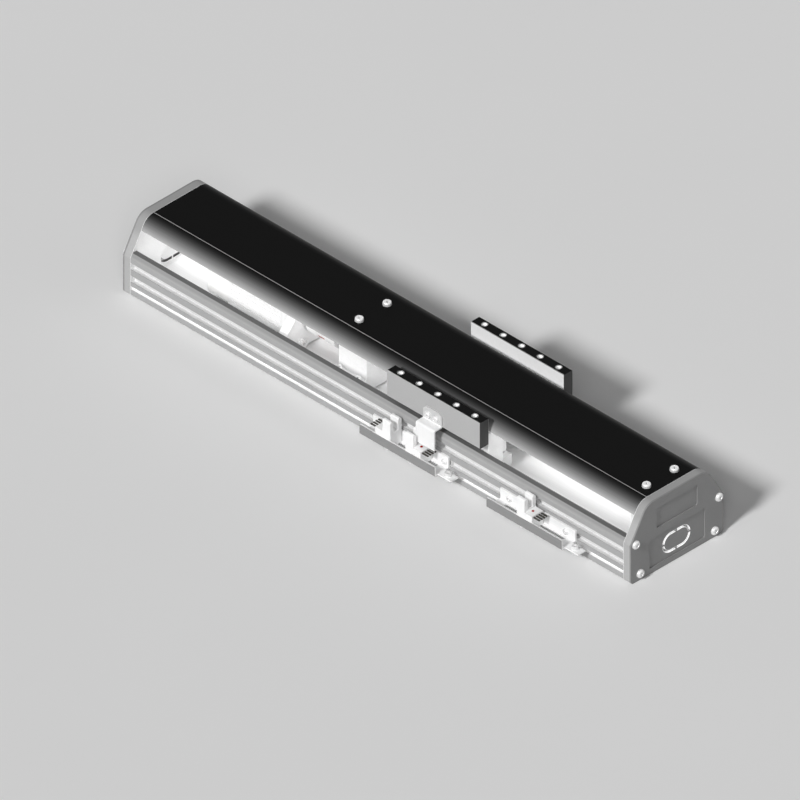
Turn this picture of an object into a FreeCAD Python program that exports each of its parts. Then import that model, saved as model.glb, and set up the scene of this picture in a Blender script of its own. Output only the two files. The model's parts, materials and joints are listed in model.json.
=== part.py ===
import FreeCAD, Part
import math
import os

from FreeCAD import Vector

os.makedirs("parts", exist_ok=True)

# Frame: +X runs along the screw to the front end plate, +Z is up, the sensors are on the -Y side.
# The origin is the centre of the flat bottom face. All sizes are in millimetres.

# Outline of the whole actuator
body_length = 548.0
body_width = 100.0
body_height = 66.0
flank_slope = 60.0             # degrees from the horizontal
flank_start = 35.5             # height where the upright sides turn into the flanks
shoulder_radius = 13.0
bottom_edge_radius = 3.0
end_plate_thickness = 8.0
fine_edge = 1.0                # edges up to this size are broken flat, larger ones are round
extruded_edge = 0.3
machined_edge = 0.5
end_round_gap = 0.01           # short of half the width, so that a round end keeps a sliver of flat

# Base extrusion
ledge_height = 39.4
side_wall = 6.9
floor_thickness = 8.0
floor_corner_web = 5.0
slot_opening = 6.0
slot_lip = 1.6
slot_undercut = 1.2
slot_depth = 4.9
upper_slot_height = 28.2
lower_slot_height = 16.6
cable_groove_width = 3.3
cable_groove_depth = 3.0
cable_groove_height = 8.1
port_rib_reach = 1.5
port_rib_half_height = 3.2
port_rib_round = 1.35
foot_hole_radius = 2.5         # tap drill of M6
foot_hole_spread_y = 78.0
foot_hole_outer_x = 460.0
foot_hole_inner_x = 180.0

# Top cover
cover_thickness = 2.5
cover_depth = 10.3             # from the top of the cover down to its lower edges

# Recesses and the cable knock-out of the end plates
recess_depth = 1.0
recess_corner = 1.5
label_recess_half_width = 22.0
label_recess_bottom = 39.2
label_recess_drop = 8.3        # from the top of the plate to the label recess
lower_recess_half_width = 30.0
lower_recess_bottom = 4.9
lower_recess_top = 32.0
knockout_length = 30.0
knockout_height = 18.2
knockout_centre = 18.0
knockout_groove = 2.0
knockout_bridge = 1.2
knockout_web = 2.5
knockout_pocket_margin = 2.0
plate_screw_upper_y = 44.8
plate_screw_upper_z = 35.2
plate_screw_lower_y = 40.1
plate_screw_lower_z = 6.2

# Threads: nominal diameter of each size, and the head that goes with it
m3 = 3.0
m4 = 4.0
thread_gap = 0.05              # between a modelled shank and its modelled thread bore
through_gap = 0.25             # extra radius of a clearance hole
head_ratio = 1.85              # head diameter as a share of the nominal diameter
button_height_ratio = 0.6
pan_height_ratio = 0.7
cap_height_ratio = 1.0
dome_rim = 0.35                # upright rim of a domed head, as a share of its height
dome_top = 0.55                # flat top of a domed head, as a share of its radius
plate_screw_length = 18.0
cover_screw_length = 12.0
thread_bore_extra = 2.0        # how much deeper a thread bore is than its screw
hidden_sides = 10              # flat sides of shanks, plain heads and their bores
head_sides = 12                # flat sides of a domed head and of a rubber stop
socket_sides = 6
socket_share = 0.36            # socket radius as a share of the nominal diameter

# Guide rails and blocks, 12 mm miniature size
rail_y = 27.0
rail_width = 12.0
rail_height = 8.0
rail_groove = 1.0
rail_groove_rises = (0.38, 0.5, 0.62, 0.74)  # of the groove's edges and floor, as shares of the rail height
rail_seat_rise = 2.0
rail_seat_width = 14.0
rail_seat_edge = 0.4
rail_end_gap = 2.0
rail_hole_pitch = 40.0
rail_counterbore_depth = 4.5
rail_counterbore_gap = 0.3
rail_screw_grip = 6.0
screw_tip_gap = 0.5            # between the tip of a blind screw and the end of its bore
block_width = 27.0
block_length = 34.7
block_cap_length = 5.0
block_underside = 3.0          # gap between the rail seat and the underside of a block
block_height = 10.0
block_gap = 0.2                # running gap between a block and its rail
block_hole_x = 15.0
block_hole_y = 20.0
block_thread_depth = 3.8
block_tip_gap = 0.3
block_edge = 0.8
block_cap_drop = 0.5           # from the top of a block to the top of its end caps

# Screw line
screw_axis_height = 31.0
screw_radius = 6.0
nut_running_gap = 0.08
fixed_journal_radius = 5.0
free_journal_radius = 4.0
coupling_journal_radius = 4.0
shaft_fit_gap = 0.02

# Bearing supports
fixed_support_x = -54.0
fixed_support_length = 30.0
free_support_length = 20.0
support_tower_half_width = 22.0
foot_half_width = 36.0         # of the supports and of the motor bracket
support_foot_height = 10.0
support_fillet = 1.5
support_screw_y = 28.0
support_screw_inset = 4.6      # from the end faces of a support to its screws
support_screw_length = 16.0
cover_screw_y = 15.0

# Bearings
fixed_bearing_radius = 13.0
fixed_bearing_width = 8.0
fixed_bearing_split = 9.0      # radius where the inner ring meets the outer ring
fixed_bearing_recess = 5.0     # depth of the bearings behind the rear face of the support
free_bearing_radius = 11.0
free_bearing_width = 7.0
free_bearing_split = 7.4
bearing_ring_gap = 0.1
shaft_pass_gap = 2.0           # radial room round the screw where it leaves a support
retainer_half_width = 16.0
retainer_plate = 4.0
retainer_corner = 3.0
retainer_screw_offset = 13.0
retainer_gap = 1.0
retainer_screw_length = 10.0
spacer_wall = 2.5
spacer_length = 10.0
lock_nut_radius = 11.0
lock_nut_length = 8.0
lock_nut_slot = 3.0
retaining_ring_thickness = 0.9
retaining_ring_wall = 2.4
retaining_ring_play = 0.05
retaining_ring_mouth = 3.0
retaining_groove_depth = 0.5
shaft_end_length = 4.0
shaft_end_gap = 0.5            # from a shaft end to the inner end of its hub

# Shaft coupling
coupling_radius = 12.5
coupling_gap = 2.0             # between the lock nut and the first hub
hub_length = 11.0
jaw_zone = 8.0
jaw_play = 0.4
jaw_angle = 40.0
jaw_inner_radius = 5.0
spider_ring_radius = 4.8
spider_leg_angle = 44.0
spider_leg_root = 0.5          # how far a leg reaches into the ring of the spider
spider_rim_gap = 0.6           # from the outer face of the hubs to the ends of the legs
hub_screw_length = 6.0

# Motor and its bracket
motor_size = 40.0
motor_corner = 4.0
motor_shaft_radius = 2.5
motor_shaft_gap = 0.1
motor_flange_length = 8.0
motor_body_length = 60.0
encoder_length = 24.0
encoder_edge = 1.5
motor_body_step = 1.0
motor_groove_spacing = 5.0
motor_groove_half_width = 0.8
motor_groove_depth = 0.8
motor_shaft_share = 3.0        # one part in this many of the housing is bored for the shaft
motor_pilot_radius = 11.0
motor_pilot_height = 2.0
motor_pilot_gap = 0.1
motor_bolt_offset = 16.2
motor_screw_length = 14.0
bracket_plate = 8.0
bracket_coupling_gap = 2.0
bracket_foot_length = 14.0
bracket_foot_height = 5.0
bracket_shoulder_rise = 14.0
bracket_taper_rise = 14.0
bracket_top_margin = 2.0
bracket_corner = 3.0
bracket_foot_gap = 1.0
bracket_screw_length = 10.0
connector_length = 14.0
connector_width = 16.0
connector_height = 7.6
connector_wall = 1.5

# Slider
slider_x = 61.0                # centre of the slider as shown
slider_length = 100.0
slider_wall = 9.5
slider_rise = 3.6              # of the wall tops above the cover
table_room = 1.2               # between the table and the cover's lower edge
table_thickness = 9.1
leg_outer_y = 40.3
leg_step_y = 25.2
leg_inner_y = 13.5
leg_set_back = 8.0
slider_edge = 0.6
slider_inner_round = 1.5
slider_hole_radius = 2.1       # tap drill of M5
slider_hole_pitch = 20.0
slider_hole_count = 5
slider_hole_depth = 12.0
head_sink = 0.5                # how far a sunk head lies below the table
block_spread = 62.0            # distance between the two blocks on one rail
nut_zone_half_width = 16.0
nut_zone_rear = -20.0          # from the slider centre
nut_zone_front = 21.0
nut_zone_gap = 0.8             # above the flange of the nut, where that reaches into the table

# Ball nut and its bracket
nut_radius = 11.0
nut_flange_half_width = 13.0
nut_flange_thickness = 7.0
nut_length = 37.0
nut_flange_bolt = 10.0
nut_flange_screw_length = 16.0
nut_bracket_rear = -11.0       # from the slider centre
nut_bracket_length = 22.0
nut_bracket_half_width = 15.5
nut_bracket_drop = 13.5        # below the screw axis
nut_bracket_ear_height = 8.4
nut_bracket_ear_half_width = 24.0
nut_bracket_side_gap = 0.5
nut_bracket_screw_x = 12.0
nut_bracket_screw_y = 20.0
nut_bore_gap = 0.1
nut_bracket_corner = 3.0

# Rubber stops
bumper_radius = 4.5
bumper_length = 8.0
bumper_edge = 1.0
bumper_y = 13.0
bumper_drop = 16.0             # from the top of the cover to the stops
bumper_stem_radius = 2.0
bumper_stem_length = 4.0

# Sensor flag
flag_thickness = 1.2
flag_bend = 1.8                # outer radius of its bends
flag_width = 20.0
flag_tab_drop = 11.6           # from the slider's wall top to the flag's tab
flag_tab_corner = 3.0
flag_blade_gap = 2.0           # between the blade and the floor of the light slot
flag_screw_spread = 8.8
flag_screw_drop = 6.5          # from the top of the tab to its screws
flag_screw_length = 6.0

# Sensor trays on the lower slot of the near side
tray_length = 81.0
tray_reach = 16.4
tray_bottom = 11.1
tray_wall = 1.5
tray_bend = 0.15               # inside edge of the bends, clear of the sensors
tray_outer_height = 9.1
tray_inner_height = 11.0
rear_tray_start = -2.5
front_tray_from_plate = 131.4  # from the front plate's inner face to the rear end of the tray
tray_end_tab = 14.0
tray_tab_half_width = 4.0
tray_slot_width = 3.4
tray_slot_spread = 7.5
tray_slot_margin = 8.0
tray_screw_length = 5.5
tray_screw_inset = 10.0        # of the front tray's screws, from its ends
rear_tray_screw_inset = 4.0
slot_nut_size = 8.0
slot_nut_thickness = 2.8
end_screw_length = 4.0
end_nut_radius_ratio = 0.9
end_nut_height_ratio = 0.8

# Photo-interrupter sensors
sensor_line_y = -58.6          # middle of the light slot
sensor_gap = 5.0
sensor_prong = 3.6
sensor_prong_length = 8.4
sensor_length = 16.4
sensor_body_top = 25.0
sensor_top = 36.0
sensor_slot_floor = 26.0
sensor_corner = 1.0
lamp_radius = 1.1
lamp_rise = 0.4
lamp_inset = 11.4              # from the prong end of the sensor
terminal_count = 4
terminal_spacing = 2.7
terminal_width = 1.4
terminal_thickness = 0.7
terminal_length = 6.5
sensor_screw_length = 7.0
sensor_screw_inset = 4.5
front_limit_on_tray = 31.0     # from the rear end of its tray to the prong end of the sensor
home_on_tray = 47.8
rear_limit_on_tray = 31.6

# Places that follow from the sizes above
half_width = body_width / 2
inner_length = body_length - 2 * end_plate_thickness
plate_face_x = inner_length / 2
channel_y = half_width - side_wall
rail_seat = floor_thickness + rail_seat_rise
block_bottom = rail_seat + block_underside
block_top = block_bottom + block_height
cover_inside = body_height - cover_thickness
cover_edge_height = body_height - cover_depth
table_top = cover_edge_height - table_room
table_underside = table_top - table_thickness
slider_top = body_height + slider_rise
flag_tab_top = slider_top - flag_tab_drop
flag_screw_height = flag_tab_top - flag_screw_drop
flag_blade_bottom = sensor_slot_floor + flag_blade_gap
bumper_height = body_height - bumper_drop
front_tray_start = plate_face_x - front_tray_from_plate
front_limit_x = front_tray_start + front_limit_on_tray
home_x = rear_tray_start + home_on_tray
rear_limit_x = rear_tray_start + rear_limit_on_tray
fixed_support_rear = fixed_support_x - fixed_support_length / 2
fixed_support_front = fixed_support_x + fixed_support_length / 2
free_support_rear = plate_face_x - free_support_length
rail_start = fixed_support_front + rail_end_gap
rail_end = free_support_rear - rail_end_gap
fixed_bearing_rear = fixed_support_rear + fixed_bearing_recess
fixed_bearing_front = fixed_bearing_rear + 2 * fixed_bearing_width
free_bearing_rear = free_support_rear + free_support_length / 2 - free_bearing_width + 1.0
free_bearing_front = free_bearing_rear + free_bearing_width
spacer_rear = fixed_bearing_rear - spacer_length
lock_nut_rear = spacer_rear - lock_nut_length
coupling_front = lock_nut_rear - coupling_gap
screw_hub_rear = coupling_front - hub_length
motor_hub_front = screw_hub_rear - jaw_zone
coupling_rear = motor_hub_front - hub_length
bracket_front = coupling_rear - bracket_coupling_gap
motor_face = bracket_front - bracket_plate
slider_rear = slider_x - slider_length / 2
slider_front = slider_x + slider_length / 2
wall_middle_y = half_width - slider_wall / 2
screw_line = Vector(0, 0, screw_axis_height)

ALONG_X = Vector(1, 0, 0)
ALONG_Y = Vector(0, 1, 0)
UP = Vector(0, 0, 1)
SIDES = (-1, 1)


def flank_y(height):
    """Half width of the outline at a height on the flank."""
    return half_width - (height - flank_start) / math.tan(math.radians(flank_slope))


def box(x, y, z):
    """Block between two limits on each axis."""
    low = Vector(min(x), min(y), min(z))
    return Part.makeBox(max(x) - min(x), max(y) - min(y), max(z) - min(z), low)


def rod(radius, start, length, direction):
    """Solid cylinder from a start point along a direction."""
    return Part.makeCylinder(radius, length, start, direction)


def corners_round(radius, centre, direction, sides):
    """Corners of a regular polygon about a centre, square to a direction."""
    turn = FreeCAD.Rotation(UP, direction)
    corners = []
    for index in range(sides):
        angle = 2 * math.pi * index / sides
        corner = Vector(radius * math.cos(angle), radius * math.sin(angle), 0)
        corners.append(centre.add(turn.multVec(corner)))
    return corners


def flat_face(corners):
    """Flat face through its corners."""
    return Part.Face(Part.makePolygon(corners + corners[:1]))


def prism(radius, start, length, direction, sides=hidden_sides):
    """Flat-sided rod, which keeps the many small screws and their bores light."""
    face = flat_face(corners_round(radius, start, direction, sides))
    return face.extrude(Vector(direction).multiply(length))


def taper(start_radius, end_radius, start, length, direction, sides):
    """Flat-sided cone stump."""
    end = start.add(Vector(direction).multiply(length))
    low = corners_round(start_radius, start, direction, sides)
    high = corners_round(end_radius, end, direction, sides)
    faces = [flat_face(low), flat_face(high)]
    for index in range(sides):
        after = (index + 1) % sides
        faces.append(flat_face([low[index], low[after], high[after], high[index]]))
    shell = Part.makeShell(faces)
    shell.sewShape()
    solid = Part.makeSolid(shell)
    solid.fix(1e-6, 1e-6, 1e-6)
    return solid


def on_axis(x):
    """Point on the screw axis at x."""
    return Vector(x, 0, screw_axis_height)


def shaft(radius, x_start, x_end):
    """Cylinder on the screw axis."""
    return rod(radius, on_axis(x_start), x_end - x_start, ALONG_X)


def ring(inner, outer, x_start, x_end):
    """Tube on the screw axis."""
    return shaft(outer, x_start, x_end).cut(shaft(inner, x_start, x_end))


def rounded_face(corners, to_point):
    """Flat face through (a, b, radius) corners, each of some radius as an arc or broken flat when fine."""
    ends = []
    edges = []
    count = len(corners)
    for index in range(count):
        a, b, radius = corners[index]
        here = to_point(a, b)
        before = to_point(corners[index - 1][0], corners[index - 1][1])
        after = to_point(corners[(index + 1) % count][0], corners[(index + 1) % count][1])
        if radius <= 0:
            ends.append((here, here))
            continue
        back = before.sub(here).normalize()
        ahead = after.sub(here).normalize()
        half_angle = back.getAngle(ahead) / 2
        run = radius / math.tan(half_angle)
        start = here.add(Vector(back).multiply(run))
        end = here.add(Vector(ahead).multiply(run))
        ends.append((start, end))
        if radius <= fine_edge:
            edges.append(Part.makeLine(start, end))
            continue
        middle_way = back.add(ahead).normalize()
        middle = here.add(middle_way.multiply(radius / math.sin(half_angle) - radius))
        edges.append(Part.Arc(start, middle, end).toShape())
    for index in range(count):
        leave = ends[index][1]
        arrive = ends[(index + 1) % count][0]
        if leave.sub(arrive).Length > 1e-6:
            edges.append(Part.makeLine(leave, arrive))
    return Part.Face(Part.Wire(Part.__sortEdges__(edges)))


def profile_x(corners, x_start, x_end):
    """Profile of (y, z, radius) corners carried along X."""
    face = rounded_face(corners, lambda y, z: Vector(x_start, y, z))
    return face.extrude(Vector(x_end - x_start, 0, 0))


def profile_z(corners, z_start, z_end):
    """Profile of (x, y, radius) corners carried along Z."""
    face = rounded_face(corners, lambda x, y: Vector(x, y, z_start))
    return face.extrude(Vector(0, 0, z_end - z_start))


def profile_y(corners, y_start, y_end):
    """Profile of (x, z, radius) corners carried along Y."""
    face = rounded_face(corners, lambda x, z: Vector(x, y_start, z))
    return face.extrude(Vector(0, y_end - y_start, 0))


def both_sides(half):
    """Corners of a whole profile from its +Y half, listed from the bottom middle to the top middle."""
    mirrored = [(-y, z, radius) for y, z, radius in reversed(half)]
    return half + mirrored


def cut_all(solid, tools):
    """Solid with every tool taken away."""
    return solid.cut(Part.makeCompound(tools)) if tools else solid


def join(solids):
    """One solid from pieces that overlap or share faces."""
    whole = solids[0]
    for piece in solids[1:]:
        whole = whole.fuse(piece)
    return whole.removeSplitter()


def mirror_x(shape):
    """Shape mirrored to the other end of the actuator."""
    return shape.mirror(Vector(0, 0, 0), ALONG_X)


def thread_bore(nominal, seat, direction, depth):
    """Bore that takes a screw thread of a nominal size."""
    return prism(nominal / 2, seat, depth, direction)


def clearance_bore(nominal, seat, direction, depth):
    """Bore that a screw passes through freely."""
    return prism(nominal / 2 + through_gap, seat, depth, direction)


def screw(nominal, length, seat, direction, height_ratio, domed):
    """Screw whose head stands on the seat, with its shank along the direction."""
    head_radius = nominal * head_ratio / 2
    head_height = nominal * height_ratio
    away = Vector(direction).multiply(-1)
    shank = prism(nominal / 2 - thread_gap, seat, length, direction)
    if not domed:
        return prism(head_radius, seat, head_height, away).fuse(shank)
    rim = head_height * dome_rim
    dome_start = seat.add(Vector(away).multiply(rim))
    dome = taper(head_radius, head_radius * dome_top, dome_start, head_height - rim, away, head_sides)
    head = prism(head_radius, seat, rim, away, head_sides).fuse(dome)
    socket_floor = seat.add(Vector(away).multiply(head_height / 2))
    socket = prism(nominal * socket_share, socket_floor, head_height, away, socket_sides)
    return head.removeSplitter().cut(socket).fuse(shank)


def plate_screw_places():
    """(y, z) of the four screws that hold an end plate."""
    upper = [(side * plate_screw_upper_y, plate_screw_upper_z) for side in SIDES]
    lower = [(side * plate_screw_lower_y, plate_screw_lower_z) for side in SIDES]
    return upper + lower


def rail_hole_places():
    """X of the screws along a rail, centred on it."""
    room = rail_end - rail_start - rail_hole_pitch / 2
    steps = int(room // rail_hole_pitch)
    first = (rail_start + rail_end) / 2 - steps * rail_hole_pitch / 2
    return [first + index * rail_hole_pitch for index in range(steps + 1)]


def support_screw_places():
    """(x, y) of the screws that hold the two bearing supports."""
    ends = []
    for middle, length in support_spans():
        reach = length / 2 - support_screw_inset
        ends += [middle - reach, middle + reach]
    return [(x, side * support_screw_y) for x in ends for side in SIDES]


def support_spans():
    """(centre, length) of the fixed support and of the free support."""
    return (
        (fixed_support_x, fixed_support_length),
        (free_support_rear + free_support_length / 2, free_support_length),
    )


def bracket_screw_places():
    """(x, y) of the screws that hold the motor bracket."""
    front = bracket_front + bracket_foot_length / 2
    rear = motor_face - bracket_foot_length / 2
    return [(x, side * support_screw_y) for x in (rear, front) for side in SIDES]


def cover_screw_places():
    """(x, y) of the screws that hold the top cover."""
    return [(middle, side * cover_screw_y) for middle, _ in support_spans() for side in SIDES]


def foot_hole_places():
    """(x, y) of the thread bores in the bottom face."""
    spans = (foot_hole_outer_x, foot_hole_inner_x)
    ends = [end * span / 2 for span in spans for end in SIDES]
    return [(x, side * foot_hole_spread_y / 2) for x in ends for side in SIDES]


def slot_corners(height):
    """Corners of one side slot with undercut, from its lower lip to its upper lip."""
    low = height - slot_opening / 2
    high = height + slot_opening / 2
    lip = half_width - slot_lip
    back = half_width - slot_depth
    return [
        (half_width, low, 0),
        (lip, low, 0),
        (lip, low - slot_undercut, 0),
        (back, low - slot_undercut, 0),
        (back, high + slot_undercut, 0),
        (lip, high + slot_undercut, 0),
        (lip, high, 0),
        (half_width, high, 0),
    ]


def base_half_profile():
    """The +Y half of the base section, from the bottom middle round to the floor middle."""
    groove_low = cable_groove_height - cable_groove_width / 2
    groove_high = cable_groove_height + cable_groove_width / 2
    rib_y = channel_y - port_rib_reach
    rib_low = plate_screw_upper_z - port_rib_half_height
    rib_high = plate_screw_upper_z + port_rib_half_height
    seat_inner = rail_y - rail_seat_width / 2
    seat_outer = rail_y + rail_seat_width / 2
    corners = [
        (half_width, 0, bottom_edge_radius),
        (half_width, groove_low, 0),
        (half_width - cable_groove_depth, groove_low, 0),
        (half_width - cable_groove_depth, groove_high, 0),
        (half_width, groove_high, 0),
    ]
    corners += slot_corners(lower_slot_height)
    corners += slot_corners(upper_slot_height)
    corners += [
        (half_width, flank_start, 0),
        (flank_y(ledge_height), ledge_height, extruded_edge),
        (channel_y, ledge_height, extruded_edge),
        (channel_y, rib_high, 0),
        (rib_y, rib_high, port_rib_round),
        (rib_y, rib_low, port_rib_round),
        (channel_y, rib_low, 0),
        (channel_y, floor_thickness + floor_corner_web, 1.0),
        (channel_y - floor_corner_web, floor_thickness, 1.0),
        (seat_outer, floor_thickness, 0),
        (seat_outer, rail_seat, rail_seat_edge),
        (seat_inner, rail_seat, rail_seat_edge),
        (seat_inner, floor_thickness, 0),
    ]
    return corners


def base_extrusion():
    """Long U-shaped extrusion with side slots, rail seats and thread bores."""
    solid = profile_x(both_sides(base_half_profile()), -plate_face_x, plate_face_x)
    tools = []
    depth = plate_screw_length - end_plate_thickness + recess_depth + thread_bore_extra
    for end in SIDES:
        for y, z in plate_screw_places():
            tools.append(thread_bore(m4, Vector(end * plate_face_x, y, z), ALONG_X * -end, depth))
    for x in rail_hole_places():
        for side in SIDES:
            seat = Vector(x, side * rail_y, rail_seat)
            tools.append(thread_bore(m3, seat, -UP, rail_screw_grip))
    for x, y in support_screw_places():
        seat = Vector(x, y, rail_seat)
        depth = support_screw_length - support_foot_height + 1.0
        tools.append(thread_bore(m4, seat, -UP, depth))
    for x, y in bracket_screw_places():
        seat = Vector(x, y, rail_seat)
        depth = bracket_screw_length - bracket_foot_height + 1.0
        tools.append(thread_bore(m4, seat, -UP, depth))
    for x, y in foot_hole_places():
        tools.append(rod(foot_hole_radius, Vector(x, y, 0), rail_seat, UP))
    return cut_all(solid, tools)


def plate_outline():
    """Outline of an end plate, whose sides, flanks and top the base and cover continue."""
    return both_sides(
        [
            (half_width, 0, bottom_edge_radius),
            (half_width, flank_start, 1.0),
            (flank_y(body_height), body_height, shoulder_radius),
        ]
    )


def obround(length, height, x_start, x_end):
    """Solid with two half-round ends, centred on the knock-out."""
    radius = height / 2 - end_round_gap
    half = length / 2
    low = knockout_centre - height / 2
    high = knockout_centre + height / 2
    return profile_x(both_sides([(half, low, radius), (half, high, radius)]), x_start, x_end)


def knockout_cut(x_start, x_end):
    """Ring-shaped groove through the plate, with four bridges left in it."""
    inner_length = knockout_length - 2 * knockout_groove
    inner_height = knockout_height - 2 * knockout_groove
    outer = obround(knockout_length, knockout_height, x_start, x_end)
    groove = outer.cut(obround(inner_length, inner_height, x_start, x_end))
    half_bridge = knockout_bridge / 2
    upright = box(
        (x_start, x_end),
        (-half_bridge, half_bridge),
        (knockout_centre - knockout_height, knockout_centre + knockout_height),
    )
    level = box(
        (x_start, x_end),
        (-knockout_length, knockout_length),
        (knockout_centre - half_bridge, knockout_centre + half_bridge),
    )
    return groove.cut(upright).cut(level)


def front_end_plate():
    """End plate with a label recess, a lower recess, a cable knock-out and four screw holes."""
    outer_x = plate_face_x + end_plate_thickness
    recess_x = outer_x - recess_depth
    solid = profile_x(plate_outline(), plate_face_x, outer_x)
    label = [
        (label_recess_half_width, label_recess_bottom, recess_corner),
        (label_recess_half_width, body_height - label_recess_drop, recess_corner),
    ]
    lower = [
        (lower_recess_half_width, lower_recess_bottom, recess_corner),
        (lower_recess_half_width, lower_recess_top, recess_corner),
    ]
    pocket_length = knockout_length + 2 * knockout_pocket_margin
    pocket_height = knockout_height + 2 * knockout_pocket_margin
    tools = [
        profile_x(both_sides(label), recess_x, outer_x),
        profile_x(both_sides(lower), recess_x, outer_x),
        obround(pocket_length, pocket_height, plate_face_x, recess_x - knockout_web),
        knockout_cut(plate_face_x, outer_x),
    ]
    for y, z in plate_screw_places():
        tools.append(clearance_bore(m4, Vector(plate_face_x, y, z), ALONG_X, end_plate_thickness))
    return cut_all(solid, tools)


def plate_screws():
    """Four button-head screws of the front end plate."""
    outer_x = plate_face_x + end_plate_thickness
    return [
        screw(m4, plate_screw_length, Vector(outer_x, y, z), -ALONG_X, button_height_ratio, True)
        for y, z in plate_screw_places()
    ]


def top_cover():
    """Bent cover sheet between the end plates, with holes over the bearing supports."""
    sheet_run = cover_thickness / math.sin(math.radians(flank_slope))
    corners = [
        (flank_y(cover_edge_height) - sheet_run, cover_edge_height, 0),
        (flank_y(cover_edge_height), cover_edge_height, 0),
        (flank_y(body_height), body_height, shoulder_radius),
    ]
    outer = both_sides(corners[1:])
    inner = both_sides(
        [
            (flank_y(cover_edge_height) - sheet_run, cover_edge_height, 0),
            (flank_y(cover_inside) - sheet_run, cover_inside, shoulder_radius - cover_thickness),
        ]
    )
    solid = profile_x(outer, -plate_face_x, plate_face_x)
    tools = [profile_x(inner, -plate_face_x, plate_face_x)]
    for x, y in cover_screw_places():
        tools.append(clearance_bore(m4, Vector(x, y, cover_inside), UP, cover_thickness))
    return cut_all(solid, tools)


def cover_screws():
    """Pan-head screws that hold the cover to the bearing supports."""
    return [
        screw(m4, cover_screw_length, Vector(x, y, body_height), -UP, pan_height_ratio, True)
        for x, y in cover_screw_places()
    ]


def guide_rail(side):
    """Profile rail with ball grooves and counterbored holes."""
    half = rail_width / 2
    waist = half - rail_groove
    heights = [rail_seat + rail_height * rise for rise in rail_groove_rises]
    lower_edge, floor_low, floor_high, upper_edge = heights
    half_profile = [
        (half, rail_seat, extruded_edge),
        (half, lower_edge, 0),
        (waist, floor_low, 0),
        (waist, floor_high, 0),
        (half, upper_edge, 0),
        (half, rail_seat + rail_height, machined_edge),
    ]
    solid = profile_x(both_sides(half_profile), rail_start, rail_end)
    solid.translate(Vector(0, side * rail_y, 0))
    top = rail_seat + rail_height
    head_radius = m3 * head_ratio / 2 + rail_counterbore_gap
    tools = []
    for x in rail_hole_places():
        tools.append(prism(head_radius, Vector(x, side * rail_y, top), rail_counterbore_depth, -UP))
        tools.append(clearance_bore(m3, Vector(x, side * rail_y, top), -UP, rail_height))
    return cut_all(solid, tools)


def guide_rail_screws():
    """Cap screws sunk in both rails."""
    seat_z = rail_seat + rail_height - rail_counterbore_depth
    length = rail_height - rail_counterbore_depth + rail_screw_grip - screw_tip_gap
    return [
        screw(m3, length, Vector(x, side * rail_y, seat_z), -UP, cap_height_ratio, False)
        for x in rail_hole_places()
        for side in SIDES
    ]


def support_body(x_start, x_end):
    """Bearing support with a wide foot and a tower that reaches the cover."""
    foot_top = rail_seat + support_foot_height
    half_profile = [
        (foot_half_width, rail_seat, machined_edge),
        (foot_half_width, foot_top, 1.0),
        (support_tower_half_width, foot_top, support_fillet),
        (support_tower_half_width, cover_inside, 1.0),
    ]
    solid = profile_x(both_sides(half_profile), x_start, x_end)
    tools = []
    for x, y in support_screw_places():
        if x_start < x < x_end:
            tools.append(clearance_bore(m4, Vector(x, y, foot_top), -UP, support_foot_height))
    for x, y in cover_screw_places():
        if x_start < x < x_end:
            depth = cover_screw_length - cover_thickness + thread_bore_extra
            tools.append(thread_bore(m4, Vector(x, y, cover_inside), -UP, depth))
    return cut_all(solid, tools)


def bumper_places():
    """(x, side of Y, direction) of the rubber stops."""
    return [
        (face, side * bumper_y, away)
        for face, away in ((fixed_support_front, 1), (free_support_rear, -1))
        for side in SIDES
    ]


def stem_bores():
    """Bores for the stems of the rubber stops."""
    return [
        prism(bumper_stem_radius + thread_gap, Vector(x, y, bumper_height), bumper_stem_length, ALONG_X * -away)
        for x, y, away in bumper_places()
    ]


def fixed_bearing_support():
    """Support of the driven end, bored for two angular contact bearings."""
    solid = support_body(fixed_support_rear, fixed_support_front)
    tools = [
        shaft(fixed_bearing_radius + shaft_fit_gap, fixed_support_rear, fixed_bearing_front),
        shaft(screw_radius + shaft_pass_gap, fixed_support_rear, fixed_support_front),
    ]
    for across in SIDES:
        for rise in SIDES:
            seat = Vector(
                fixed_support_rear,
                across * retainer_screw_offset,
                screw_axis_height + rise * retainer_screw_offset,
            )
            tools.append(thread_bore(m3, seat, ALONG_X, retainer_screw_length))
    return cut_all(solid, tools + stem_bores())


def free_bearing_support():
    """Support of the free end, with one deep groove bearing that can shift along X."""
    solid = support_body(free_support_rear, plate_face_x)
    tools = [
        shaft(free_bearing_radius + shaft_fit_gap, free_bearing_rear, plate_face_x),
        shaft(screw_radius + shaft_pass_gap, free_support_rear, plate_face_x),
    ]
    return cut_all(solid, tools + stem_bores())


def support_screws():
    """Cap screws of both bearing supports."""
    seat_z = rail_seat + support_foot_height
    return [
        screw(m4, support_screw_length, Vector(x, y, seat_z), -UP, cap_height_ratio, False)
        for x, y in support_screw_places()
    ]


def fixed_bearing_rings(inner):
    """Inner or outer rings of the two fixed bearings."""
    rings = []
    for index in range(2):
        x_start = fixed_bearing_rear + index * fixed_bearing_width
        x_end = x_start + fixed_bearing_width
        if inner:
            rings.append(ring(fixed_journal_radius, fixed_bearing_split, x_start, x_end))
        else:
            split = fixed_bearing_split + bearing_ring_gap
            rings.append(ring(split, fixed_bearing_radius, x_start, x_end))
    return rings


def free_bearing_ring(inner):
    """Inner or outer ring of the free bearing."""
    if inner:
        return ring(free_journal_radius, free_bearing_split, free_bearing_rear, free_bearing_front)
    split = free_bearing_split + bearing_ring_gap
    return ring(split, free_bearing_radius, free_bearing_rear, free_bearing_front)


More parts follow.
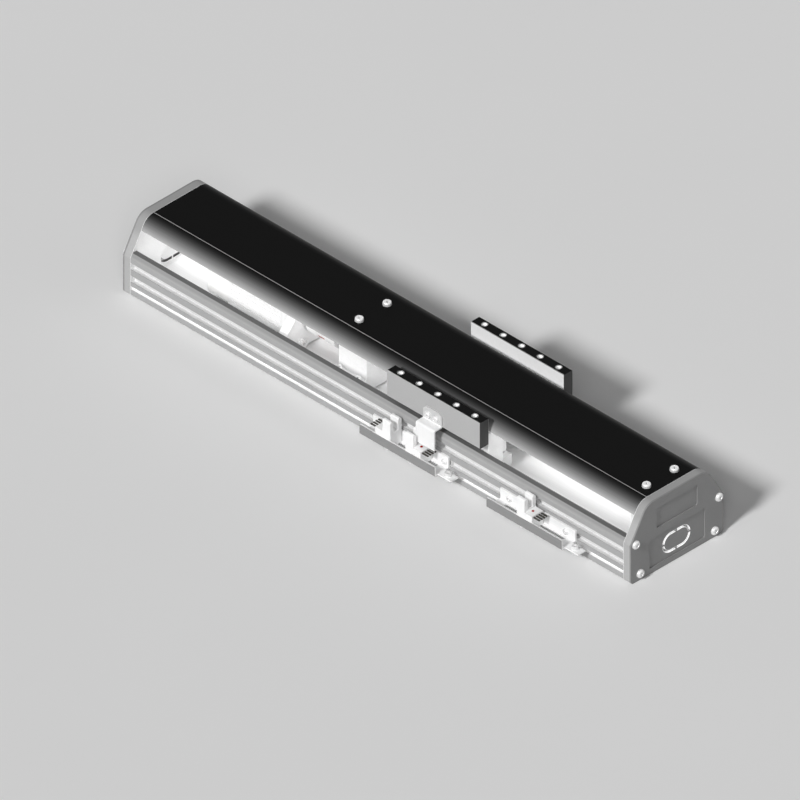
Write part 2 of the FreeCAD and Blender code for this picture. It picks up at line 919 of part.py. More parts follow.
def bearing_retainer():
    """Square plate whose spigot holds the outer rings against their shoulder."""
    half = retainer_half_width
    low = screw_axis_height - half
    high = screw_axis_height + half
    plate_rear = fixed_support_rear - retainer_plate
    corners = both_sides([(half, low, retainer_corner), (half, high, retainer_corner)])
    plate = profile_x(corners, plate_rear, fixed_support_rear)
    spigot = shaft(fixed_bearing_radius, plate_rear, fixed_bearing_rear)
    bore = fixed_journal_radius + spacer_wall + retainer_gap
    tools = [shaft(bore, plate_rear, fixed_bearing_rear)]
    for across in SIDES:
        for rise in SIDES:
            place = Vector(
                plate_rear, across * retainer_screw_offset, screw_axis_height + rise * retainer_screw_offset
            )
            tools.append(clearance_bore(m3, place, ALONG_X, retainer_plate))
    return cut_all(join([plate, spigot]), tools)


def retainer_screws():
    """Screws of the bearing retainer."""
    plate_rear = fixed_support_rear - retainer_plate
    return [
        screw(
            m3,
            retainer_screw_length,
            Vector(
                plate_rear, across * retainer_screw_offset, screw_axis_height + rise * retainer_screw_offset
            ),
            ALONG_X,
            cap_height_ratio,
            False,
        )
        for across in SIDES
        for rise in SIDES
    ]


def bearing_spacer():
    """Sleeve between the inner rings and the lock nut."""
    return ring(fixed_journal_radius, fixed_journal_radius + spacer_wall, spacer_rear, fixed_bearing_rear)


def lock_nut():
    """Slotted round nut that clamps the inner rings."""
    solid = ring(fixed_journal_radius, lock_nut_radius, lock_nut_rear, spacer_rear)
    tools = []
    for index in range(4):
        slot = box(
            (lock_nut_rear, spacer_rear),
            (-lock_nut_slot / 2, lock_nut_slot / 2),
            (screw_axis_height + lock_nut_radius - 2.0, screw_axis_height + lock_nut_radius + 1.0),
        )
        slot.rotate(screw_line, ALONG_X, 90 * index)
        tools.append(slot)
    return cut_all(solid, tools)


def ball_screw():
    """Screw with its journals, a shoulder at each bearing and a groove for the retaining ring."""
    groove_start = free_bearing_front
    groove_end = groove_start + retaining_ring_thickness + 2 * retaining_ring_play
    pieces = [
        shaft(screw_radius, fixed_bearing_front, free_bearing_rear),
        shaft(fixed_journal_radius - shaft_fit_gap, lock_nut_rear, fixed_bearing_front),
        shaft(coupling_journal_radius - shaft_fit_gap, screw_hub_rear + shaft_end_gap, lock_nut_rear),
        shaft(free_journal_radius - shaft_fit_gap, free_bearing_rear, groove_end + shaft_end_length),
    ]
    solid = join(pieces)
    groove_floor = free_journal_radius - retaining_groove_depth
    groove = ring(groove_floor, free_journal_radius + 1.0, groove_start, groove_end)
    return solid.cut(groove)


def retaining_ring():
    """Open ring that keeps the free bearing on its journal."""
    x_start = free_bearing_front + retaining_ring_play
    inner = free_journal_radius - retaining_groove_depth + retaining_ring_play
    outer = inner + retaining_ring_wall
    solid = ring(inner, outer, x_start, x_start + retaining_ring_thickness)
    mouth = box(
        (x_start - 1, x_start + 2),
        (-retaining_ring_mouth / 2, retaining_ring_mouth / 2),
        (screw_axis_height + inner - 1.0, screw_axis_height + outer + 1.0),
    )
    return solid.cut(mouth)


def sector(inner, outer, middle_angle, width_angle, x_start, x_end):
    """Wedge of a tube on the screw axis, centred on an angle from +Y."""
    tube = shaft(outer, x_start, x_end).cut(shaft(inner, x_start, x_end))
    reach = outer * 2
    half = math.radians(width_angle / 2)
    middle = math.radians(middle_angle)
    points = [Vector(x_start, 0, screw_axis_height)]
    for angle in (middle - half, middle + half):
        away = Vector(0, math.cos(angle) * reach, math.sin(angle) * reach)
        points.append(points[0].add(away))
    points.append(points[0])
    wedge = Part.Face(Part.makePolygon(points)).extrude(Vector(x_end - x_start, 0, 0))
    return tube.common(wedge)


def coupling_hub(x_start, x_end, bore, jaw_end, first_angle):
    """Coupling hub with two jaws that reach into the jaw zone, and a set screw bore."""
    body = ring(bore, coupling_radius, x_start, x_end)
    face = x_end if jaw_end > x_end else x_start
    pieces = [body]
    for turn in (0, 180):
        low = min(face, jaw_end)
        high = max(face, jaw_end)
        pieces.append(sector(jaw_inner_radius, coupling_radius, first_angle + turn, jaw_angle, low, high))
    solid = join(pieces)
    place = Vector((x_start + x_end) / 2, 0, screw_axis_height)
    return solid.cut(prism(m4 / 2, place, coupling_radius + 1, UP))


def screw_side_hub():
    """Hub on the end of the ball screw."""
    tip = motor_hub_front + jaw_play
    return coupling_hub(screw_hub_rear, coupling_front, coupling_journal_radius, tip, 0)


def motor_side_hub():
    """Hub on the motor shaft."""
    tip = screw_hub_rear - jaw_play
    return coupling_hub(coupling_rear, motor_hub_front, motor_shaft_radius, tip, 90)


def coupling_spider():
    """Elastic cross whose four legs lie between the jaws."""
    low = motor_hub_front + jaw_play
    high = screw_hub_rear - jaw_play
    pieces = [ring(coupling_journal_radius - 1.0, spider_ring_radius, low, high)]
    for index in range(4):
        middle = 90 * (index + 1 / 2)
        pieces.append(
            sector(
                spider_ring_radius - spider_leg_root,
                coupling_radius - spider_rim_gap,
                middle,
                spider_leg_angle,
                low,
                high,
            )
        )
    return join(pieces)


def coupling_set_screws():
    """Set screws that hold the hubs on their shafts."""
    screws = []
    hubs = (
        ((screw_hub_rear + coupling_front) / 2, coupling_journal_radius),
        ((coupling_rear + motor_hub_front) / 2, motor_shaft_radius),
    )
    for x, shaft_radius in hubs:
        foot = Vector(x, 0, screw_axis_height + shaft_radius)
        screws.append(prism(m4 / 2 - thread_gap, foot, hub_screw_length, UP))
    return screws


def square_section(size, corner, x_start, x_end):
    """Square block with rounded edges, centred on the screw axis."""
    half = size / 2
    low = screw_axis_height - half
    high = screw_axis_height + half
    return profile_x(both_sides([(half, low, corner), (half, high, corner)]), x_start, x_end)


def motor_bolt_places(x):
    """Points on a plane x where the motor screws pass."""
    return [
        Vector(x, across * motor_bolt_offset, screw_axis_height + rise * motor_bolt_offset)
        for across in SIDES
        for rise in SIDES
    ]


def motor_bracket():
    """Upright plate with a foot before and behind it, bored for the motor pilot."""
    shoulder = rail_seat + bracket_shoulder_rise
    half_profile = [
        (foot_half_width, rail_seat, machined_edge),
        (foot_half_width, shoulder, 2.0),
        (support_tower_half_width, shoulder + bracket_taper_rise, 2.0),
        (support_tower_half_width, screw_axis_height + motor_size / 2 + bracket_top_margin, bracket_corner),
    ]
    plate = profile_x(both_sides(half_profile), motor_face, bracket_front)
    pieces = [plate]
    foot_top = rail_seat + bracket_foot_height
    for side in SIDES:
        span = (side * (motor_size / 2 + bracket_foot_gap), side * foot_half_width)
        length = (motor_face - bracket_foot_length, bracket_front + bracket_foot_length)
        pieces.append(box(length, span, (rail_seat, foot_top)))
    tools = [shaft(motor_pilot_radius + motor_pilot_gap, motor_face, bracket_front)]
    for place in motor_bolt_places(motor_face):
        tools.append(clearance_bore(m4, place, ALONG_X, bracket_plate))
    for x, y in bracket_screw_places():
        tools.append(clearance_bore(m4, Vector(x, y, foot_top), -UP, bracket_foot_height))
    return cut_all(join(pieces), tools)


def motor_bracket_screws():
    """Cap screws of the motor bracket."""
    seat_z = rail_seat + bracket_foot_height
    return [
        screw(m4, bracket_screw_length, Vector(x, y, seat_z), -UP, cap_height_ratio, False)
        for x, y in bracket_screw_places()
    ]


def motor_screws():
    """Screws that clamp the motor to its bracket."""
    return [
        screw(m4, motor_screw_length, place, -ALONG_X, cap_height_ratio, False)
        for place in motor_bolt_places(bracket_front)
    ]


def motor_flange():
    """Front end bell of the motor, with its pilot."""
    rear = motor_face - motor_flange_length
    block = square_section(motor_size, motor_corner, rear, motor_face)
    pilot = shaft(motor_pilot_radius, motor_face, motor_face + motor_pilot_height)
    tools = [shaft(motor_shaft_radius + motor_shaft_gap, rear, motor_face + motor_pilot_height)]
    for place in motor_bolt_places(motor_face):
        tools.append(thread_bore(m4, place, -ALONG_X, motor_flange_length))
    return cut_all(join([block, pilot]), tools)


def motor_body():
    """Motor housing between the flange and the encoder cover."""
    front = motor_face - motor_flange_length
    rear = front - motor_body_length
    size = motor_size - 2 * motor_body_step
    block = square_section(size, motor_corner + motor_body_step, rear, front)
    ribs = []
    for turn in range(4):
        for index in (-2, -1, 0, 1, 2):
            middle = index * motor_groove_spacing
            groove = box(
                (rear + motor_corner, front - motor_corner),
                (middle - motor_groove_half_width, middle + motor_groove_half_width),
                (screw_axis_height + size / 2 - motor_groove_depth, screw_axis_height + size / 2 + 1.0),
            )
            groove.rotate(screw_line, ALONG_X, 90 * turn)
            ribs.append(groove)
    bore_depth = motor_body_length / motor_shaft_share
    bore = shaft(motor_shaft_radius + motor_shaft_gap, front - bore_depth, front)
    return cut_all(block, ribs + [bore])


def encoder_cover():
    """Cap over the encoder behind the motor."""
    front = motor_face - motor_flange_length - motor_body_length
    rear = front - encoder_length
    size = motor_size - 4 * motor_body_step
    block = square_section(size, motor_corner, rear, front)
    edges = [edge for edge in block.Edges if abs(edge.CenterOfMass.x - rear) < 1e-6]
    return block.makeChamfer(encoder_edge, edges)


def motor_connector():
    """Socket for the motor cable on top of the encoder cover."""
    front = motor_face - motor_flange_length - motor_body_length
    middle = front - encoder_length / 2
    floor = screw_axis_height + motor_size / 2 - 2 * motor_body_step
    shell = box(
        (middle - connector_length / 2, middle + connector_length / 2),
        (-connector_width / 2, connector_width / 2),
        (floor, floor + connector_height),
    )
    cavity = box(
        (middle - connector_length / 2, middle + connector_length / 2 - connector_wall),
        (-connector_width / 2 + connector_wall, connector_width / 2 - connector_wall),
        (floor + connector_wall, floor + connector_height - connector_wall),
    )
    return shell.cut(cavity)


def motor_shaft():
    """Motor shaft from inside the housing to the coupling."""
    inside = motor_face - motor_flange_length - motor_body_length / motor_shaft_share + 1.0
    return shaft(motor_shaft_radius - shaft_fit_gap, inside, motor_hub_front - shaft_end_gap)


def bumpers():
    """Rubber stops on the inner faces of the bearing supports."""
    stops = []
    for x, y, away in bumper_places():
        place = Vector(x, y, bumper_height)
        way = ALONG_X * away
        body = prism(bumper_radius, place, bumper_length - bumper_edge, way, head_sides)
        nose = place.add(Vector(away * (bumper_length - bumper_edge), 0, 0))
        tip = taper(bumper_radius, bumper_radius - bumper_edge, nose, bumper_edge, way, head_sides)
        body = body.fuse(tip)
        stem = prism(bumper_stem_radius, place, bumper_stem_length, -way)
        stops.append(body.fuse(stem))
    return stops


def block_centres():
    """(x, side) of the four guide blocks."""
    return [
        (slider_x + end * block_spread / 2, side)
        for end in SIDES
        for side in SIDES
    ]


def block_screw_places():
    """(x, y) of the screws of all guide blocks."""
    places = []
    for x, side in block_centres():
        for along in SIDES:
            for across in SIDES:
                places.append((x + along * block_hole_x / 2, side * rail_y + across * block_hole_y / 2))
    return places


def nut_bracket_screw_places():
    """(x, y) of the screws of the nut bracket."""
    middle = slider_x + nut_bracket_rear + nut_bracket_length / 2
    return [
        (middle + end * nut_bracket_screw_x / 2, side * nut_bracket_screw_y)
        for end in SIDES
        for side in SIDES
    ]


def slider_holes():
    """Thread bores on top of both slider walls."""
    middle = (slider_hole_count - 1) / 2
    return [
        rod(
            slider_hole_radius,
            Vector(slider_x + (index - middle) * slider_hole_pitch, side * wall_middle_y, slider_top),
            slider_hole_depth,
            -UP,
        )
        for index in range(slider_hole_count)
        for side in SIDES
    ]


def slider():
    """Carriage: two upright walls outside the cover, a table under it and two legs to the blocks."""
    inner_wall = half_width - slider_wall
    half_profile = [
        (leg_inner_y, table_underside, 1.0),
        (leg_inner_y, block_top, machined_edge),
        (leg_outer_y, block_top, machined_edge),
        (leg_outer_y, table_underside, machined_edge),
        (half_width, table_underside, slider_edge),
        (half_width, slider_top, slider_edge),
        (inner_wall, slider_top, slider_edge),
        (inner_wall, table_top, slider_inner_round),
    ]
    solid = profile_x(both_sides(half_profile), slider_rear, slider_front)
    tools = list(slider_holes())
    nut_rear = slider_x + nut_zone_rear
    nut_front = slider_x + nut_zone_front
    bracket_rear = slider_x + nut_bracket_rear
    bracket_front_x = bracket_rear + nut_bracket_length
    height = (block_top, table_underside)
    nut_zone_top = max(table_underside, screw_axis_height + nut_flange_half_width + nut_zone_gap)
    nut_zone_y = (-nut_zone_half_width, nut_zone_half_width)
    tools.append(box((nut_rear, nut_front), nut_zone_y, (block_top, nut_zone_top)))
    ear_room = nut_bracket_ear_half_width + nut_bracket_side_gap
    room = (bracket_rear - 1.0, bracket_front_x + 1.0)
    tools.append(box(room, (-ear_room, ear_room), height))
    for side in SIDES:
        step = (side * leg_inner_y, side * leg_step_y)
        tools.append(box((slider_rear, slider_rear + leg_set_back), step, height))
        tools.append(box((slider_front - leg_set_back, slider_front), step, height))
    head_radius = m3 * head_ratio / 2 + through_gap
    for x, y in block_screw_places():
        tools.append(prism(head_radius, Vector(x, y, table_top), m3 * cap_height_ratio + head_sink, -UP))
        tools.append(clearance_bore(m3, Vector(x, y, table_top), -UP, table_top - block_top))
    head_radius = m4 * head_ratio / 2 + through_gap
    for x, y in nut_bracket_screw_places():
        tools.append(prism(head_radius, Vector(x, y, table_top), m4 * cap_height_ratio + head_sink, -UP))
        tools.append(clearance_bore(m4, Vector(x, y, table_top), -UP, table_top - table_underside))
    for x in flag_screw_x():
        seat = Vector(x, -half_width, flag_screw_height)
        tools.append(thread_bore(m3, seat, ALONG_Y, flag_screw_length))
    return cut_all(solid, tools)


def block_profile(x_start, x_end):
    """Section of a guide block that grips the rail, carried along X."""
    half = block_width / 2
    channel = rail_width / 2 + block_gap
    channel_top = rail_seat + rail_height + block_gap
    half_profile = [
        (channel, channel_top, 0),
        (channel, block_bottom, 0),
        (half, block_bottom, block_edge),
        (half, block_top, block_edge),
    ]
    return profile_x(both_sides(half_profile), x_start, x_end)


def guide_blocks():
    """Steel bodies of the four guide blocks."""
    half = block_length / 2 - block_cap_length
    solids = []
    for x, side in block_centres():
        block = block_profile(x - half, x + half)
        block.translate(Vector(0, side * rail_y, 0))
        holes = [
            thread_bore(m3, Vector(hole_x, hole_y, block_top), -UP, block_thread_depth)
            for hole_x, hole_y in block_screw_places()
            if abs(hole_x - x) < half and abs(hole_y - side * rail_y) < block_width / 2
        ]
        solids.append(cut_all(block, holes))
    return solids


def guide_block_caps():
    """Plastic end caps of the four guide blocks."""
    solids = []
    for x, side in block_centres():
        for end in SIDES:
            inner = x + end * (block_length / 2 - block_cap_length)
            outer = x + end * block_length / 2
            cap = block_profile(min(inner, outer), max(inner, outer))
            cap.translate(Vector(0, side * rail_y, 0))
            trim = box(
                (min(inner, outer), max(inner, outer)),
                (side * rail_y - block_width, side * rail_y + block_width),
                (block_top - block_cap_drop, block_top + 1.0),
            )
            solids.append(cap.cut(trim))
    return solids


def guide_block_screws():
    """Long cap screws from the table down into the guide blocks."""
    seat_z = table_top - m3 * cap_height_ratio - head_sink
    length = seat_z - block_top + block_thread_depth - block_tip_gap
    return [
        screw(m3, length, Vector(x, y, seat_z), -UP, cap_height_ratio, False)
        for x, y in block_screw_places()
    ]


def nut_flange_places(x):
    """Points on a plane x where the screws of the nut flange pass."""
    return [
        Vector(x, across * nut_flange_bolt, screw_axis_height + rise * nut_flange_bolt)
        for across in SIDES
        for rise in SIDES
    ]


def ball_nut():
    """Ball nut with a square flange on its rear end."""
    face = slider_x + nut_bracket_rear
    flange_rear = face - nut_flange_thickness
    flange = square_section(2 * nut_flange_half_width, 2.0, flange_rear, face)
    barrel = shaft(nut_radius, flange_rear, flange_rear + nut_length)
    tools = [shaft(screw_radius + nut_running_gap, flange_rear, flange_rear + nut_length)]
    for place in nut_flange_places(flange_rear):
        tools.append(clearance_bore(m3, place, ALONG_X, nut_flange_thickness))
    return cut_all(join([flange, barrel]), tools)


def nut_flange_screws():
    """Cap screws through the nut flange into its bracket."""
    flange_rear = slider_x + nut_bracket_rear - nut_flange_thickness
    return [
        screw(m3, nut_flange_screw_length, place, ALONG_X, cap_height_ratio, False)
        for place in nut_flange_places(flange_rear)
    ]


def nut_bracket():
    """T-shaped bracket that hangs under the table and holds the ball nut."""
    rear = slider_x + nut_bracket_rear
    front = rear + nut_bracket_length
    ear_bottom = table_underside - nut_bracket_ear_height
    half_profile = [
        (nut_bracket_half_width, screw_axis_height - nut_bracket_drop, nut_bracket_corner),
        (nut_bracket_half_width, ear_bottom, 1.0),
        (nut_bracket_ear_half_width, ear_bottom, 1.0),
        (nut_bracket_ear_half_width, table_underside, 0),
    ]
    solid = profile_x(both_sides(half_profile), rear, front)
    tools = [shaft(nut_radius + nut_bore_gap, rear, front)]
    depth = nut_flange_screw_length - nut_flange_thickness + thread_bore_extra
    for place in nut_flange_places(rear):
        tools.append(thread_bore(m3, place, ALONG_X, depth))
    for x, y in nut_bracket_screw_places():
        tools.append(thread_bore(m4, Vector(x, y, table_underside), -UP, nut_bracket_ear_height))
    return cut_all(solid, tools)


def nut_bracket_screws():
    """Cap screws from the table down into the nut bracket."""
    seat_z = table_top - m4 * cap_height_ratio - head_sink
    length = seat_z - table_underside + nut_bracket_ear_height - 1.0
    return [
        screw(m4, length, Vector(x, y, seat_z), -UP, cap_height_ratio, False)
        for x, y in nut_bracket_screw_places()
    ]


def flag_screw_x():
    """X of the two flag screws."""
    return [slider_x + side * flag_screw_spread / 2 for side in SIDES]


def sensor_flag():
    """Bent sheet: a tab on the slider wall, a shelf outwards and a blade down into the sensors."""
    face = -half_width
    blade_outer = sensor_line_y - flag_thickness / 2
    start = slider_x - flag_width / 2
    end = slider_x + flag_width / 2
    bend = flag_bend
    section = [
        (face, flag_tab_top, 0),
        (face - flag_thickness, flag_tab_top, 0),
        (face - flag_thickness, table_underside + flag_thickness, bend - flag_thickness),
        (blade_outer, table_underside + flag_thickness, bend),
        (blade_outer, flag_blade_bottom, 0),
        (blade_outer + flag_thickness, flag_blade_bottom, 0),
        (blade_outer + flag_thickness, table_underside, bend - flag_thickness),
        (face, table_underside, bend),
    ]
    solid = profile_x(section, start, end)
    tools = []
    for edge, side in ((start, -1), (end, 1)):
        corner = [
            (edge, flag_tab_top, 0),
            (edge - side * flag_tab_corner, flag_tab_top, 0),
            (edge, flag_tab_top - flag_tab_corner, 0),
        ]
        tools.append(profile_y(corner, face - 2 * flag_thickness, face))
    for x in flag_screw_x():
        place = Vector(x, face - 2 * flag_thickness, flag_screw_height)
        tools.append(clearance_bore(m3, place, ALONG_Y, 2 * flag_thickness))
    return cut_all(solid, tools)


def flag_screws():
    """Pan-head screws of the sensor flag."""
    seat_y = -half_width - flag_thickness
    return [
        screw(m3, flag_screw_length, Vector(x, seat_y, flag_screw_height), ALONG_Y, pan_height_ratio, True)
        for x in flag_screw_x()
    ]


def tray_screw_places():
    """X of the screws that hold the trays, kept clear of the sensors."""
    rear_between = (rear_limit_x + home_x) / 2
    rear_last = rear_tray_start + tray_length - rear_tray_screw_inset
    front_first = front_tray_start + tray_screw_inset
    front_last = front_tray_start + tray_length - tray_screw_inset
    return [rear_between, rear_last, front_first, front_last]


def tray_end_places():
    """X of the screws on the end tabs of the trays."""
    return [start + tray_length + tray_end_tab / 2 for start in (rear_tray_start, front_tray_start)]


def sensor_tray(start):
    """Channel on the base side with two long slots in its floor and a tab at its front end."""
    end = start + tray_length
    outer = -half_width - tray_reach
    inner_top = tray_bottom + tray_inner_height
    outer_top = tray_bottom + tray_outer_height
    floor_top = tray_bottom + tray_wall
    section = [
        (-half_width, tray_bottom, 0),
        (-half_width, inner_top, 0),
        (-half_width - tray_wall, inner_top, 0),
        (-half_width - tray_wall, floor_top, tray_bend),
        (outer + tray_wall, floor_top, tray_bend),
        (outer + tray_wall, outer_top, 0),
        (outer, outer_top, 0),
        (outer, tray_bottom, 1.0),
    ]
    middle = sensor_line_y
    tab = box(
        (end - 1.0, end + tray_end_tab),
        (middle - tray_tab_half_width, middle + tray_tab_half_width),
        (tray_bottom, floor_top),
    )
    solid = join([profile_x(section, start, end), tab])
    tools = []
    for side in SIDES:
        slot_middle = middle + side * tray_slot_spread / 2
        low = slot_middle - tray_slot_width / 2
        high = slot_middle + tray_slot_width / 2
        radius = tray_slot_width / 2 - end_round_gap
        corners = [
            (start + tray_slot_margin, low, radius),
            (end - tray_slot_margin, low, radius),
            (end - tray_slot_margin, high, radius),
            (start + tray_slot_margin, high, radius),
        ]
        tools.append(profile_z(corners, tray_bottom, floor_top))
    for x in tray_screw_places():
        if start < x < end:
            place = Vector(x, -half_width - tray_wall, lower_slot_height)
            tools.append(clearance_bore(m3, place, ALONG_Y, tray_wall))
    for x in tray_end_places():
        if end < x < end + tray_end_tab:
            tools.append(clearance_bore(m3, Vector(x, middle, tray_bottom), UP, tray_wall))
    return cut_all(solid, tools)


def tray_screws():
    """Button-head screws that clamp the trays to the slot nuts."""
    seat_y = -half_width - tray_wall
    return [
        screw(m3, tray_screw_length, Vector(x, seat_y, lower_slot_height), ALONG_Y, button_height_ratio, True)
        for x in tray_screw_places()
    ]


def tray_end_screws():
    """Cap screws with their nuts on the end tabs of the trays."""
    floor_top = tray_bottom + tray_wall
    screws = []
    for x in tray_end_places():
        seat = Vector(x, sensor_line_y, floor_top)
        bolt = screw(m3, end_screw_length, seat, -UP, cap_height_ratio, False)
        under = Vector(x, sensor_line_y, tray_bottom)
        nut = prism(m3 * end_nut_radius_ratio, under, m3 * end_nut_height_ratio, -UP, socket_sides)
        screws.append(bolt.fuse(nut))
    return screws


def slot_nuts():
    """Square nuts in the lower slot of the near side."""
    lip = -half_width + slot_lip
    half = slot_nut_size / 2
    nuts = []
    for x in tray_screw_places():
        nut = box(
            (x - half, x + half),
            (lip, lip + slot_nut_thickness),
            (lower_slot_height - half, lower_slot_height + half),
        )
        nuts.append(nut.cut(thread_bore(m3, Vector(x, lip, lower_slot_height), ALONG_Y, slot_nut_thickness)))
    return nuts


def sensor_spans():
    """(prong end x, direction to the terminals) of the rear limit, home and front limit sensors."""
    return ((rear_limit_x, -1), (home_x, 1), (front_limit_x, 1))


def sensor_screw_places():
    """(x, y) of the screws of each sensor, one in each slot of the tray."""
    places = []
    for prong_end, way in sensor_spans():
        near = prong_end + way * sensor_screw_inset
        far = prong_end + way * (sensor_length - sensor_screw_inset)
        places.append((near, sensor_line_y - tray_slot_spread / 2))
        places.append((far, sensor_line_y + tray_slot_spread / 2))
    return places


def sensor_body(prong_end, way):
    """Moulded U-shaped body: a low block with two prongs beside the light slot."""
    half = sensor_gap / 2 + sensor_prong
    low_y = sensor_line_y - half
    high_y = sensor_line_y + half
    floor_top = tray_bottom + tray_wall
    block_end = prong_end + way * sensor_length
    prongs_end = prong_end + way * sensor_prong_length
    block = box((prong_end, block_end), (low_y, high_y), (floor_top, sensor_body_top))
    section = [
        (low_y, floor_top, 0),
        (low_y, sensor_top, sensor_corner),
        (sensor_line_y - sensor_gap / 2, sensor_top, sensor_corner),
        (sensor_line_y - sensor_gap / 2, sensor_slot_floor, extruded_edge),
        (sensor_line_y + sensor_gap / 2, sensor_slot_floor, extruded_edge),
        (sensor_line_y + sensor_gap / 2, sensor_top, sensor_corner),
        (high_y, sensor_top, sensor_corner),
        (high_y, floor_top, 0),
    ]
    prongs = profile_x(section, min(prong_end, prongs_end), max(prong_end, prongs_end))
    tools = [
        thread_bore(m3, Vector(x, y, floor_top), UP, sensor_screw_length)
        for x, y in sensor_screw_places()
        if abs(x - (prong_end + block_end) / 2) < sensor_length / 2
    ]
    return cut_all(join([block, prongs]), tools)


def sensor_screws():
    """Screws from below the trays into the sensors."""
    length = tray_wall + sensor_screw_length - screw_tip_gap
    return [
        screw(m3, length, Vector(x, y, tray_bottom), UP, pan_height_ratio, True)
        for x, y in sensor_screw_places()
    ]


def sensor_terminals():
    """Flat solder terminals at the end of each sensor."""
    blades = []
    middle = (terminal_count - 1) / 2
    for prong_end, way in sensor_spans():
        start = prong_end + way * sensor_length
        for index in range(terminal_count):
            y = sensor_line_y + (index - middle) * terminal_spacing
            blades.append(
                box(
                    (start, start + way * terminal_length),
                    (y - terminal_width / 2, y + terminal_width / 2),
                    (sensor_body_top - 1.0 - terminal_thickness, sensor_body_top - 1.0),
                )
            )
    return blades


def sensor_lamps():
    """Indicator lamp on top of each sensor."""
    return [
        prism(lamp_radius, Vector(prong_end + way * lamp_inset, sensor_line_y, sensor_body_top), lamp_rise, UP)
        for prong_end, way in sensor_spans()
    ]


def save(name, shape):
    """Write one node, whose solids stay separate."""
    solids = shape if isinstance(shape, list) else [shape]
    group = Part.makeCompound([solid for piece in solids for solid in piece.Solids])
    whole = group.Solids[0] if len(group.Solids) == 1 else group
    whole.exportStep(os.path.join("parts", name + ".step"))


def main():
    """Build every node."""
    save("base_extrusion", base_extrusion())
    save("front_end_plate", front_end_plate())
    save("rear_end_plate", mirror_x(front_end_plate()))
    save("front_plate_screws", plate_screws())
    save("rear_plate_screws", [mirror_x(piece) for piece in plate_screws()])
    save("top_cover", top_cover())
    save("cover_screws", cover_screws())
    save("near_guide_rail", guide_rail(-1))
    save("far_guide_rail", guide_rail(1))
    save("guide_rail_screws", guide_rail_screws())
    save("fixed_bearing_support", fixed_bearing_support())
    save("free_bearing_support", free_bearing_support())
    save("support_screws", support_screws())
    save("fixed_bearing_outer_rings", fixed_bearing_rings(False))
    save("fixed_bearing_inner_rings", fixed_bearing_rings(True))
    save("free_bearing_outer_ring", free_bearing_ring(False))
    save("free_bearing_inner_ring", free_bearing_ring(True))
    save("bearing_retainer", bearing_retainer())
    save("retainer_screws", retainer_screws())
    save("bearing_spacer", bearing_spacer())
    save("lock_nut", lock_nut())
    save("retaining_ring", retaining_ring())
    save("ball_screw", ball_screw())
    save("screw_side_hub", screw_side_hub())
    save("motor_side_hub", motor_side_hub())
    save("coupling_spider", coupling_spider())
    save("coupling_set_screws", coupling_set_screws())
    save("motor_bracket", motor_bracket())
    save("motor_bracket_screws", motor_bracket_screws())
    save("motor_flange", motor_flange())
    save("motor_body", motor_body())
    save("encoder_cover", encoder_cover())
    save("motor_connector", motor_connector())
    save("motor_screws", motor_screws())
    save("motor_shaft", motor_shaft())
    save("stop_bumpers", bumpers())
    save("slider", slider())
    save("guide_blocks", guide_blocks())
    save("guide_block_caps", guide_block_caps())
    save("guide_block_screws", guide_block_screws())
    save("ball_nut", ball_nut())
    save("nut_flange_screws", nut_flange_screws())
    save("nut_bracket", nut_bracket())
    save("nut_bracket_screws", nut_bracket_screws())
    save("sensor_flag", sensor_flag())
    save("flag_screws", flag_screws())
    save("rear_sensor_tray", sensor_tray(rear_tray_start))
    save("front_sensor_tray", sensor_tray(front_tray_start))
    save("tray_screws", tray_screws())
    save("tray_end_screws", tray_end_screws())
    save("slot_nuts", slot_nuts())
    save("rear_limit_sensor", sensor_body(*sensor_spans()[0]))
    save("home_sensor", sensor_body(*sensor_spans()[1]))
    save("front_limit_sensor", sensor_body(*sensor_spans()[2]))
    save("sensor_screws", sensor_screws())
    save("sensor_terminals", sensor_terminals())
    save("sensor_lamps", sensor_lamps())


main()
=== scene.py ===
"""Finishes, fine pieces, light and camera of a covered ball screw actuator.

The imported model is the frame. Its solids keep their places; this script dresses them, and makes the pieces whose
detail is finer than the solids: the rolled screw, the fasteners and the thread mouths of the slider.
"""

import json
import logging
import math
from dataclasses import dataclass, field
from enum import Enum
from typing import ClassVar, Iterable, Sequence

import bpy
import numpy as np
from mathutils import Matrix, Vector


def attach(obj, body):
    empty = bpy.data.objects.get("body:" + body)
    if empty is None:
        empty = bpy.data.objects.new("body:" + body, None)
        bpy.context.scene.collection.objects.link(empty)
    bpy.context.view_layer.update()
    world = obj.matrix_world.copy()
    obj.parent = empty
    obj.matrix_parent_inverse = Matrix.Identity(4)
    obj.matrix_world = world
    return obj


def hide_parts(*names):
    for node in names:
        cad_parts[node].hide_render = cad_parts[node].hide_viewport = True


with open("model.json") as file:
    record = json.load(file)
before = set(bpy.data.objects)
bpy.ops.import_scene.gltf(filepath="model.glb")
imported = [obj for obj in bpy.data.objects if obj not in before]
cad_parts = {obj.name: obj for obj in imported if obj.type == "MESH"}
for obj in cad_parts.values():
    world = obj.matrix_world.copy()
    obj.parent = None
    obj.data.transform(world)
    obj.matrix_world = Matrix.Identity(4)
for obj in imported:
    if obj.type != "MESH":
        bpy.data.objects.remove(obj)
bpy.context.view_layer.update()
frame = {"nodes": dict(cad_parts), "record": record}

log = logging.getLogger("actuator")
MM = 0.001
Colour = tuple[float, float, float]

# Widths over which painted zones blend into each other.
SHARP = 0.1 * MM
CRISP = 0.05 * MM

# Faces that meet at less than this are shaded as one surface.
SMOOTH_ANGLE = math.radians(35.0)
FULL_TURN = 2 * math.pi


class Drive(Enum):
    """Recess in the head of a fastener."""

    HEXAGON = "hexagon"
    CROSS = "cross"


